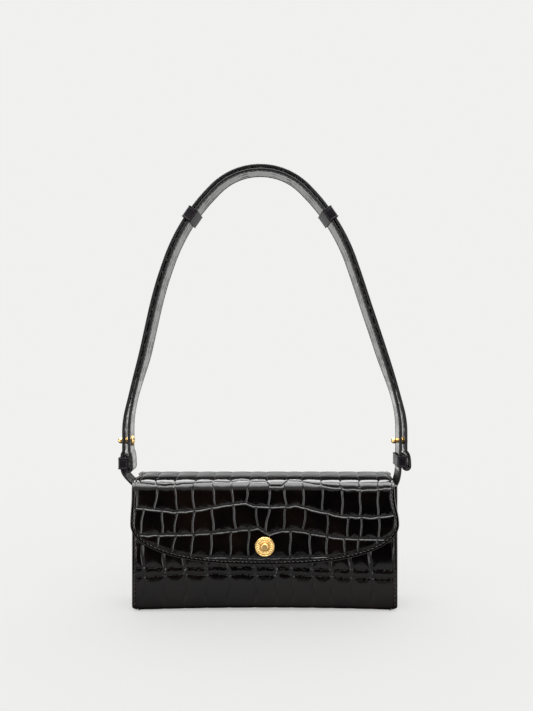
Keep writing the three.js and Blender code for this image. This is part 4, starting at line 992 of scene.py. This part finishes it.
mouth_x = np.arange(pouch_low[0] + MOUTH_SEAM_END, pouch_high[0] - MOUTH_SEAM_END, SEAM_STEP)
mouth_lines = [np.stack([mouth_x, 0 * mouth_x + y, 0 * mouth_x + pouch_mouth - MOUTH_SEAM], -1)
               for y in (pouch_low[1] + FINE_SUNK, pouch_high[1] - FINE_SUNK)]
stitches("pouch_stitching", mouth_lines, [line * TO_BACK for line in mouth_lines],
         "body", "pocket_leather", **FINE_STITCH)

# Zip: two black woven tapes sewn inside the pouch's mouth, each with a row of nickel teeth, a stop at both
# ends, and a nickel slider with a pull.
ALONG_TAPE = (0.2, 1, 1)  # the weave's ribs run along the tape
zip_cloth = finish("zip_cloth", (1900, 1, (0.012, 0.011, 0.013), (0.035, 0.033, 0.036), ALONG_TAPE),
                   (200, 2, 0.75, 0.9), [(1900, 1, 0.12, ALONG_TAPE)], {"Sheen Weight": 0.2})
TOOTH_PITCH = 2.0
# Sections of a tooth from its root to its tip, as shares of its reach, half its pitch and half its height.
TOOTH_SHAPE = np.array([(0, 0.5, 0.6), (0.45, 0.5, 0.8), (0.7, 0.72, 1), (0.92, 0.68, 0.95), (1, 0.4, 0.6)])


def zip_teeth(name, node, side, shift):
    """A row of teeth: rounded rectangles, |cos|^0.6 by |sin|^0.6, from each root on the tape to its tip."""
    low, high = corners(node)
    root, tip = (high[1], low[1]) if side > 0 else (low[1], high[1])
    middle_z, half_z = (low[2] + high[2]) / 2, (high[2] - low[2]) / 2
    along = np.arange(low[0] + 1 + shift, high[0] - 0.8, TOOTH_PITCH)[:, None, None]
    angle = np.linspace(0, 2 * np.pi, 12, endpoint=False)
    across, up = (np.sign(v) * np.abs(v) ** 0.6 for v in (np.cos(angle), np.sin(angle)))
    reach, wide, tall = TOOTH_SHAPE.T[..., None]
    x = along + across * wide * TOOTH_PITCH / 2
    points = np.stack(np.broadcast_arrays(x, root + (tip - root) * reach, middle_z + up * tall * half_z), -1)
    faces = rod_faces(points)
    if side < 0:
        faces = [block[:, ::-1] for block in faces]
    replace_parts(add_piece(name, points.reshape(-1, 3), faces, [nickel], "body"), node)


for seed, wall, facing, shift in ((91, "front", BACKWARD, 0), (92, "back", FRONTWARD, TOOTH_PITCH / 2)):
    thin_sheet("tape_" + wall, "zip_tape_" + wall, *facing, [zip_cloth, zip_cloth], "zip_tape", seed)
    zip_teeth("teeth_" + wall, "zip_teeth_" + wall, -facing[1], shift)
for node in ("zip_stop_left", "zip_stop_right", "zip_slider", "zip_pull"):
    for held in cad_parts[node].material_slots:
        held.material = nickel

# Strap: two straps of embossed leather, stitched along both edges and edge painted, that lie on each other
# over the arch. Each starts at a rivet in the side fold and ends on the other side in a U-turn and a tail.
STRAP_T = 2.0
STRAP_HALF = corners("strap_outer")[1][1]
LAYER_GAP = 1.0
COLLAR_GAP = 2.2
ARCH_FOOT = (104.2, TOP_Z + 33.2)
ARCH_DRIFT = 3.5  # the arch stands this far to the left of the wallet's middle
LEFT_DRIFT, RIGHT_DRIFT = (51, 121), (11, 106)  # heights above its foot over which each leg drifts
ARCH_TWIST = 2.2  # how far the rear edge turns in at the sides of the arch
SPREAD = 31.0  # height over which the gap between the straps grows towards the studs
ARCH_BENDS = [(80.0, 0, 12.3), (945.0, 12.3, 19.4), (146.0, 19.4, 45.3)]  # radius, lean from, lean to
STUD_Z = TOP_Z + 26.0
STUD_FLAT = 4.4
STANDING_Z = STUD_Z - STUD_FLAT - 2
PIVOT_Z = TOP_Z - 16.0
STRAP_END_X = 94.4
STRAP_END_Z = PIVOT_Z - 8.0
LAYER_REACH = (COLLAR_GAP + STRAP_T) / 2
OUTER_STUD, INNER_STUD = ARCH_FOOT[0] + LAYER_REACH, ARCH_FOOT[0] - LAYER_REACH
LEFT_BULGE, LEFT_TAIL, LEFT_HOLD, LEFT_TURN_Z = 100.2, 105.1, 107.5, TOP_Z + 6.0
RIGHT_BULGE, RIGHT_TAIL, RIGHT_HOLD, RIGHT_TURN_Z = 109.2, 104.3, 101.9, TOP_Z + 7.5
LEFT_BEND, RIGHT_BEND = (14.5, 8.0), (7.0, 5.5)  # where the ends bend in, above their rivets
TAIL_RISE = 9.5
KEEPER_LENGTH = 8.7
MIRROR = (-1, 1)  # x and z


def heading(degrees):
    """Directions at these angles over the level, as x and z."""
    return np.stack([np.cos(np.radians(degrees)), np.sin(np.radians(degrees))], -1)


def arch_bends():
    """The arch's tangent arcs from its right foot to its crown, as centre, radius, lean from and lean to."""
    bends, end = [], np.array(ARCH_FOOT)
    for radius, low, high in ARCH_BENDS:
        centre = end - radius * heading(low)
        bends.append((centre, radius, low, high))
        end = centre + radius * heading(high)
    crown = end[0] / heading(high)[0]
    return bends + [(end - crown * heading(high), crown, high, 90)]


def arch_line(layer):
    """One layer over the arch, left to right: tangent arcs, moved out (1) or in (-1) by half the gap.

    Both legs drift to the left with height, each over its own stretch.
    """
    half = []
    for centre, radius, low, high in arch_bends():
        out = heading(np.linspace(low, high, 60))
        closing = ease((centre + radius * out)[:, 1:], ARCH_FOOT[1], ARCH_FOOT[1] + SPREAD)
        gap = COLLAR_GAP + (LAYER_GAP - COLLAR_GAP) * closing
        half.append(centre + (radius + layer * (gap + STRAP_T) / 2) * out)
    half = np.vstack(half)
    left, right = half * MIRROR, half[::-1].copy()
    for leg, (low, high) in ((left, LEFT_DRIFT), (right, RIGHT_DRIFT)):
        leg[:, 0] -= ARCH_DRIFT * ease(leg[:, 1] - ARCH_FOOT[1], low, high)
    return np.vstack([left, right])


def fixed_end(stud_x, hold_x, hold_z, rises):
    """From the stud down through its keeper, then in to the rivet in the side fold."""
    lead_z = hold_z + KEEPER_LENGTH + 1
    return np.vstack([
        [(stud_x, STUD_Z + STUD_FLAT)],
        bend((stud_x, STANDING_Z), (stud_x, STANDING_Z - 2), (hold_x, lead_z + 2), (hold_x, lead_z)),
        bend((hold_x, hold_z), (hold_x, PIVOT_Z + rises[0]), (STRAP_END_X, PIVOT_Z + rises[1]),
             (STRAP_END_X, PIVOT_Z + 3.2)),
        [(STRAP_END_X, STRAP_END_Z)]])


def free_end(stud_x, bulge_x, turn_z, tail_x):
    """From the stud out to the bulge, round a U-turn and up as the tail."""
    middle, radius = (bulge_x + tail_x) / 2, (bulge_x - tail_x) / 2
    angle = np.radians(np.linspace(0, 180, 60))
    turn = np.stack([middle + radius * np.cos(angle), turn_z - abs(radius) * np.sin(angle)], -1)
    return np.vstack([
        [(stud_x, STUD_Z + STUD_FLAT)],
        bend((stud_x, STANDING_Z), (stud_x, STANDING_Z - 2.5), (bulge_x, turn_z + 12), (bulge_x, turn_z)),
        turn, [(tail_x, turn_z + TAIL_RISE)]])


left_start = fixed_end(OUTER_STUD, LEFT_HOLD, LEFT_TURN_Z, LEFT_BEND)[::-1] * MIRROR
left_tail = free_end(INNER_STUD, LEFT_BULGE, LEFT_TURN_Z, LEFT_TAIL)[::-1] * MIRROR
right_start = fixed_end(INNER_STUD, RIGHT_HOLD, RIGHT_TURN_Z, RIGHT_BEND)
right_tail = free_end(OUTER_STUD, RIGHT_BULGE, RIGHT_TURN_Z, RIGHT_TAIL)
strap_lines = {"strap_outer": Trace(left_start, arch_line(1), right_tail),
               "strap_inner": Trace(left_tail, arch_line(-1), right_start)}
strap_leather = glazed_leather("strap_leather", 0.1, 0.2, 0.03, coat=0.8)
# Dark satin edge paint for the straps' edges and tips, also laid on their faces low on the ends as painted
# shade.
strap_edge_and_shade = edge_finish("strap_edge_and_shade", 0.22)
STRAP_EDGE = 0.85  # how far the painted edge swells out
STRAP_SEAM = 2.1  # stitch line from the edge
STRAP_CHANNEL = 0.3  # depth of the groove its thread lies in
STRAP_TIP = 3.5  # corners at the strap's ends
STRAP_CREASE, CROSS_WIDTH, LENGTH_WIDTH = 0.3, 0.7, 0.6  # depth of its creases, and their widths
STRAP_SCALES = (6.5, 11.5)  # lengths of its scales
SCALE_COUNT = 140  # more than the longer strap needs
CROSS_WAVE, CROSS_WAVE_LENGTH = 0.7, 7  # how far the cross creases wander, and over what length
LENGTHWISE = (-2.9, 2.9)  # its two lengthwise creases
LONG_WAVE, LONG_WAVE_LENGTH = 0.8, 26  # how far these wander, and over what length
LONG_BREAK, LONG_BREAK_RANGE = 17, (-0.5, 0.4)  # stretches in which they come and go
SEAM_MARGIN, SEAM_FADE = 0.6, 1.2  # plain leather inside the seams, and the width over which creases begin
PAINTED_SHADE_BELOW = 3.2  # below this height over the top, the ends' faces take the dark edge finish as painted shade
TWISTED_FROM, TWISTED_FULL = 53, 95  # heights over the top where the turn begins and is full
CROWN_FROM, CROWN_FULL, CROWN_EASING = 214, 234, 0.6  # the crown's, and the share of the turn that goes there


def strap_creases(far, across, seed):
    """Cross creases a scale apart and two broken lengthwise ones, as depth under the strap's face."""
    draw = np.random.default_rng(seed)
    lines = np.cumsum(draw.uniform(*STRAP_SCALES, SCALE_COUNT))
    shifted = far + CROSS_WAVE * ripple(across, far, CROSS_WAVE_LENGTH, seed + 1)
    nearest = np.clip(np.searchsorted(lines, shifted), 1, len(lines) - 1)
    gap = np.minimum(shifted - lines[nearest - 1], lines[nearest] - shifted)
    groove = bell(gap, CROSS_WIDTH)
    broken = ease(ripple(0 * far, far, LONG_BREAK, seed + 5), *LONG_BREAK_RANGE)
    for middle in LENGTHWISE:
        line = np.abs(across - middle - LONG_WAVE * ripple(0 * far, far, LONG_WAVE_LENGTH, seed + 3))
        groove = np.maximum(groove, bell(line, LENGTH_WIDTH) * broken)
    within_seams = STRAP_HALF - STRAP_SEAM - SEAM_MARGIN - np.abs(across)
    return STRAP_CREASE * groove * ease(within_seams, 0, SEAM_FADE)


def twist_at(line, far, across):
    """How far the strap turns in on the sides of the arch, and less on its crown: most at its rear edge."""
    rise = line.at(far)[1] - TOP_Z
    share = (across + STRAP_HALF) / (2 * STRAP_HALF)
    crown = 1 - CROWN_EASING * ease(rise, CROWN_FROM, CROWN_FULL)
    return ARCH_TWIST * share * ease(rise, TWISTED_FROM, TWISTED_FULL) * crown


def strap_loft(name, line, seed, step=0.9, face_points=45):
    """A rounded strip along a line: two embossed faces with stitch channels and two half-round edges."""
    flat = STRAP_HALF - STRAP_EDGE
    face, level = np.linspace(-flat, flat, face_points), np.ones(face_points)
    turn = np.linspace(0, np.pi, 8)[1:-1]
    across = np.r_[face, flat + STRAP_EDGE * np.sin(turn), face[::-1], -flat - STRAP_EDGE * np.sin(turn)]
    lift = np.r_[level, np.cos(turn), -level, -np.cos(turn)]
    on_face = np.r_[level, 0 * turn, level, 0 * turn]
    far = np.linspace(0, line.length, int(line.length / step))[:, None]
    end = np.minimum(far, line.length - far)
    narrow = 1 - STRAP_TIP / STRAP_HALF * (1 - np.sqrt(1 - np.clip(1 - end / STRAP_TIP, 0, 1) ** 2))
    sunk = strap_creases(far + 0 * across, across + 0 * far, seed) - stitch_channel(
        STRAP_HALF - np.abs(across), STRAP_SEAM, depth=STRAP_CHANNEL, width=0.6)
    x, z = line.at(far, lift * (STRAP_T / 2 - on_face * sunk) + twist_at(line, far, across))
    points = np.stack([x, across * narrow, z], -1)
    faces = [block[:, ::-1] for block in rod_faces(points[None])]
    # Faces stay glazed above the painted shade; low on the ends they take the dark edge finish instead.
    glazed = (on_face > 0) & (line.at(far)[1] > TOP_Z + PAINTED_SHADE_BELOW)
    tone = np.where(glazed[1:], 0, 1).ravel()
    uv = np.stack([far + 0 * across, across + 0 * far], -1).reshape(-1, 2) * MM
    return add_piece(name, points.reshape(-1, 3), faces, [strap_leather, strap_edge_and_shade], "strap",
                     face_material=np.r_[tone, 1, 1], uv=uv)


STRAP_SEAM_END = 2.5


def strap_seams(line):
    """Stitch lines along both edges of both faces, with the faces' directions."""
    far = np.arange(STRAP_SEAM_END, line.length - STRAP_SEAM_END, SEAM_STEP)
    lines, outs = [], []
    for turn in (-1, 1):
        for edge in (-1, 1):
            across = edge * (STRAP_HALF - STRAP_SEAM)
            turned_in = twist_at(line, far, across)
            low, high = (np.stack([x, across + 0 * x, z], -1) for x, z in (
                line.at(far, turn * (STRAP_T / 2 + lift) + turned_in) for lift in (-STRAP_CHANNEL, 0)))
            lines.append(low)
            outs.append(high - low)
    return lines, outs


for seed, (name, line) in enumerate(strap_lines.items()):
    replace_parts(strap_loft("leather_" + name, line, 51 + 10 * seed), name)
    stitches(name + "_stitching", *strap_seams(line), "strap", "strap_leather",
             pitch=3.3, length=2.6, radius=0.22)

# Keepers: short bands of the same leather, closed round the two layers, with a crease inside each edge. The
# two lower ones hold the tails, the two upper ones slide on the arch.
KEEPER_T = 1.2
KEEPER_ROOM = 0.35
KEEPER_EDGE = 0.35  # length of its rounded edges
KEEPER_CORNER_R = 0.5
EDGE_LINE, EDGE_LINE_DEPTH, EDGE_LINE_WIDTH = 1.5, 0.3, 0.4  # pressed line inside each edge
KEEPER_HOLLOW, HOLLOW_FROM, HOLLOW_FULL = 0.16, 1.2, 2.6  # depth, and distances from the edge
BAND_CORNER_POINTS = 9
KEEPER_DROP = 0.5  # a lower one ends this far below the level where the tail turns
SHOULDER_CENTRE, SHOULDER_R = arch_bends()[2][:2]  # on the right, before the arch's drift
KEEPER_LEAN = 34.7
UPPER_LENGTH = 10.2
keeper_leather = glazed_leather("keeper_leather", 0.22, 0.34, 0.03, shine=0.12)


def keeper_band(name, middle, lean, half_stack, body, node, length=KEEPER_LENGTH, twist=0.0):
    """A band round a rounded rectangle: its wall's closed outline is carried round the two layers.

    The wall is hollowed between two raised edges. twist moves the rear towards the inside of the arch.
    """
    flat = length / 2 - KEEPER_EDGE
    level = np.linspace(-flat, flat, 41)
    gap = length / 2 - np.abs(level)
    hollow = EDGE_LINE_DEPTH * bell(gap - EDGE_LINE, EDGE_LINE_WIDTH) + (
        KEEPER_HOLLOW * ease(gap, HOLLOW_FROM, HOLLOW_FULL))
    turn = np.linspace(0, np.pi, 8)[1:-1]
    edge, past = KEEPER_T / 2, flat + KEEPER_EDGE * np.sin(turn)
    rise = np.r_[level, past, level[::-4], -past][:, None]
    swell = np.r_[KEEPER_T - hollow, edge + edge * np.cos(turn), 0 * level[::-4], edge - edge * np.cos(turn)]
    angle = np.radians(np.linspace(0, 90, BAND_CORNER_POINTS) + np.arange(0, 360, 90)[:, None]).ravel()
    corner_x = np.repeat([1, -1, -1, 1], BAND_CORNER_POINTS) * (half_stack + KEEPER_ROOM - KEEPER_CORNER_R)
    corner_y = np.repeat([1, 1, -1, -1], BAND_CORNER_POINTS) * (STRAP_HALF + KEEPER_ROOM - KEEPER_CORNER_R)
    reach = KEEPER_CORNER_R + swell[:, None]
    out, y = corner_x + reach * np.cos(angle), corner_y + reach * np.sin(angle)
    out = out - twist * (y + STRAP_HALF) / (2 * STRAP_HALF)
    c, s = heading(lean)
    points = np.stack([middle[0] + out * c - rise * s, y, middle[1] + out * s + rise * c], -1)
    faces = [torus_faces(*points.shape[:2])]
    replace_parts(add_piece(name, points.reshape(-1, 3), faces, [keeper_leather], body), node)


TAIL_HALF_STACK = STRAP_T + 0.2
for name, hold, tail, turn_z in (("left", -LEFT_HOLD, -LEFT_TAIL, LEFT_TURN_Z),
                                 ("right", RIGHT_HOLD, RIGHT_TAIL, RIGHT_TURN_Z)):
    middle = ((hold + tail) / 2, turn_z - KEEPER_DROP + KEEPER_LENGTH / 2)
    keeper_band("tail_keeper_" + name, middle, 0, TAIL_HALF_STACK, "strap", "lower_keeper_" + name)
for name, side in (("left", -1), ("right", 1)):
    middle = (SHOULDER_CENTRE + SHOULDER_R * heading(KEEPER_LEAN)) * (side, 1) - (ARCH_DRIFT, 0)
    keeper_band("arch_keeper_" + name, middle, side * KEEPER_LEAN, STRAP_T + LAYER_GAP / 2,
                "upper_keeper_" + name, "upper_keeper_" + name, length=UPPER_LENGTH, twist=side * ARCH_TWIST)

# Studs and rivets: gold screw studs pin the two layers, with a collar between them and a ball outside, and
# gold rivets with washers carry the strap in the side folds.
LAYERS = 2 * STRAP_T + COLLAR_GAP
SHANK_R = 1.3
COLLAR_R, COLLAR_BORE, COLLAR_WAIST = 2.65, 1.7, 2.45
BALL_R, BALL_FLANGE = 2.3, 1.95
BALL_MIDDLE = LAYERS + 2.425
BALL_FROM = -0.92  # angle, in radians, at which the ball leaves its neck
TO_LEFT = (-1, 0, 0)
collar_far = LAYERS - STRAP_T
collar_face = fillet([
    (COLLAR_BORE, STRAP_T), (COLLAR_R, STRAP_T), (COLLAR_R, STRAP_T + 0.7), (COLLAR_WAIST, STRAP_T + 1.1),
    (COLLAR_R, STRAP_T + 1.5), (COLLAR_R, collar_far), (COLLAR_BORE, collar_far),
    (COLLAR_BORE, STRAP_T)], 0.15)
ball_angle = np.linspace(BALL_FROM, np.pi / 2, 22)
ball_face = np.vstack([
    fillet([(0, LAYERS), (BALL_FLANGE, LAYERS), (BALL_FLANGE, LAYERS + 0.3), (1.4, LAYERS + 0.55)], 0.12),
    np.stack([BALL_R * np.cos(ball_angle), BALL_MIDDLE + BALL_R * np.sin(ball_angle)], -1)])
for name, layer, base_r in (("left", -INNER_STUD, 3.9), ("right", OUTER_STUD, 2.5)):
    place = (layer + STRAP_T / 2, 0, STUD_Z)
    base_face = fillet([
        (0, -1.05), (0.32 * base_r, -1.15), (0.42 * base_r, -1.5), (0.8 * base_r, -1.45), (base_r, -0.75),
        (base_r, 0), (SHANK_R, 0), (SHANK_R, LAYERS), (0, LAYERS)], 0.25)
    for piece, face, node in (("screw_base_", base_face, "stud_base_"),
                              ("collar_", collar_face, "stud_collar_"), ("ball_", ball_face, "stud_ball_")):
        turned(piece + name, face, place, TO_LEFT, gold, "strap", node + name)
rivet_low, rivet_high = corners("strap_rivet_right")
washer_low, washer_high = corners("rivet_washer_right")
RIVET_TAIL, RIVET_END, HEAD_R = rivet_low[0], rivet_high[0], rivet_high[1]
RIVET_SHANK_R, TAIL_R, HEAD_T = 2.0, 3.0, 1.2
WASHER_BORE = 2.3
rivet_face = fillet([
    (0, RIVET_TAIL), (TAIL_R - 0.4, RIVET_TAIL), (TAIL_R, RIVET_TAIL + 0.4), (TAIL_R, RIVET_TAIL + 0.8),
    (RIVET_SHANK_R, RIVET_TAIL + 0.8), (RIVET_SHANK_R, RIVET_END - HEAD_T), (HEAD_R, RIVET_END - HEAD_T),
    (HEAD_R, RIVET_END - 0.8), (2.5, RIVET_END - 0.25), (0.9, RIVET_END), (0, RIVET_END)], 0.3)
washer_face = fillet([
    (WASHER_BORE, washer_low[0]), (washer_high[1], washer_low[0]), (washer_high[1], washer_high[0]),
    (WASHER_BORE, washer_high[0]), (WASHER_BORE, washer_low[0])], 0.15)
for name, side in (("left", -1), ("right", 1)):
    for piece, face, node in (("rivet_", rivet_face, "strap_rivet_"),
                              ("washer_", washer_face, "rivet_washer_")):
        turned(piece + name, face, (0, 0, PIVOT_Z), (side, 0, 0), gold, "body", node + name)

# Stage: a pale floor in a white room, which glows a little so that it meets the room without a horizon.
# Boards that show only in reflections are what the lacquer mirrors: a softbox overhead, black cards, side
# glows and a grey floor.
FLOOR_GLOW = 0.438
ROOM_GLOW = 0.875
ROOM_WHITE = (1.0, 1.0, 0.985)


def stage_board(name, low, high, material):
    """A flat board of the stage between two opposite corners, in metres, that share one coordinate."""
    low, high = np.array(low), np.array(high)
    first = np.flatnonzero(low != high)[0]
    beside, above = low.copy(), high.copy()
    beside[first], above[first] = high[first], low[first]
    mesh = bpy.data.meshes.new(name)
    mesh.from_pydata([low, beside, high, above], [], [(0, 1, 2, 3)])
    mesh.materials.append(material)
    board = bpy.data.objects.new(name, mesh)
    bpy.context.scene.collection.objects.link(board)
    return board


def glow_finish(name, strength, axis, stops):
    """A board's own light: strength times a colour through stops of (place along an axis, colour)."""
    material, tree, shader = new_material(name)
    along = add_node(tree, "ShaderNodeSeparateXYZ", {"Vector": own_place(tree)}).outputs[axis]
    first, last = stops[0][0], stops[-1][0]
    share = add_node(tree, "ShaderNodeMapRange", {"Value": along, "From Min": first, "From Max": last})
    ramp = add_node(tree, "ShaderNodeValToRGB", {"Fac": share.outputs["Result"]})
    elements = ramp.color_ramp.elements
    while len(elements) < len(stops):
        elements.new(0.5)
    for element, (spot, colour) in zip(elements, stops):
        element.position = (spot - first) / (last - first)
        element.color = (*np.broadcast_to(colour, 3), 1)
    set_inputs(tree, shader, {"Base Color": (0, 0, 0, 1), "Specular IOR Level": 0.0, "Roughness": 1.0,
                              "Emission Color": ramp.outputs["Color"], "Emission Strength": strength})
    return material


floor_finish, floor_tree, floor_shader = new_material("pale_floor")
set_inputs(floor_tree, floor_shader, {
    "Base Color": (0.45, 0.45, 0.447, 1), "Roughness": 0.9, "Specular IOR Level": 0.0,
    "Emission Color": (*ROOM_WHITE, 1), "Emission Strength": FLOOR_GLOW})
stage_board("floor", (-6, -6, 0), (6, 6, 0), floor_finish).visible_glossy = False
BLACK = (0.012, 0.01, 0.01)
SIDE_STOPS = [(-5.5, 0.25), (-3.0, 0.7), (-1.0, 1), (0.3, 1)]
# Opposite corners of each board, the strength of its light, and the light's stops along an axis.
MIRRORED = {
    "softbox": ((-1.2, -2.2, 1.2), (1.2, 1.25, 1.2), 10.0, "Y",
                [(-2.2, 0.06), (-1.5, 0.2), (-1.05, 0.6), (-0.5, 1), (1.05, 1), (1.25, 0.2)]),
    "black_ceiling": ((-4.0, -1.6, 1.25), (4.0, 2.0, 1.25), ROOM_GLOW, "Y", [(-1.6, 0.3), (-1.0, 0.03)]),
    "black_card_behind": ((1.6, 2.0, 0.4), (-1.6, 2.0, 1.25), ROOM_GLOW, "Z",
                          [(0.4, 1), (0.52, 0.55), (0.64, 0.25), (0.8, 0.03)]),
    "side_glow_left": ((-2.5, -5.5, -1.6), (-2.5, 0.3, 0.2), 5.0, "Y", SIDE_STOPS),
    "side_glow_right": ((2.5, -5.5, -1.6), (2.5, 0.3, 0.2), 4.0, "Y", SIDE_STOPS),
    "black_card_before": ((3.4, -8.0, -3.2), (-3.4, -8.0, 1.8), ROOM_GLOW, "Z", [(0.95, BLACK), (1.75, 1)]),
    "grey_floor": ((-0.6, -0.125, 0.0), (0.6, 0.4, 0.0), 0.58, "Y",
                   [(-0.125, 0.06), (-0.095, 1), (-0.05, 0.75), (-0.03, 0.45), (-0.018, 0.05)])}
for name, (low, high, strength, axis, stops) in MIRRORED.items():
    board = stage_board(name, low, high, glow_finish(name, strength, axis, stops))
    for ray in ("camera", "diffuse", "shadow", "transmission", "volume_scatter"):
        setattr(board, "visible_" + ray, False)
world = bpy.data.worlds.new("white_room")
world.use_nodes = True
world.node_tree.nodes["Background"].inputs["Color"].default_value = (*ROOM_WHITE, 1)
world.node_tree.nodes["Background"].inputs["Strength"].default_value = ROOM_GLOW
bpy.context.scene.world = world
bpy.context.scene.view_settings.view_transform = "Standard"
ceiling = bpy.data.lights.new("ceiling", "SUN")
ceiling.energy = 0.305
ceiling.angle = np.radians(90)
ceiling_lamp = bpy.data.objects.new("ceiling", ceiling)
bpy.context.scene.collection.objects.link(ceiling_lamp)
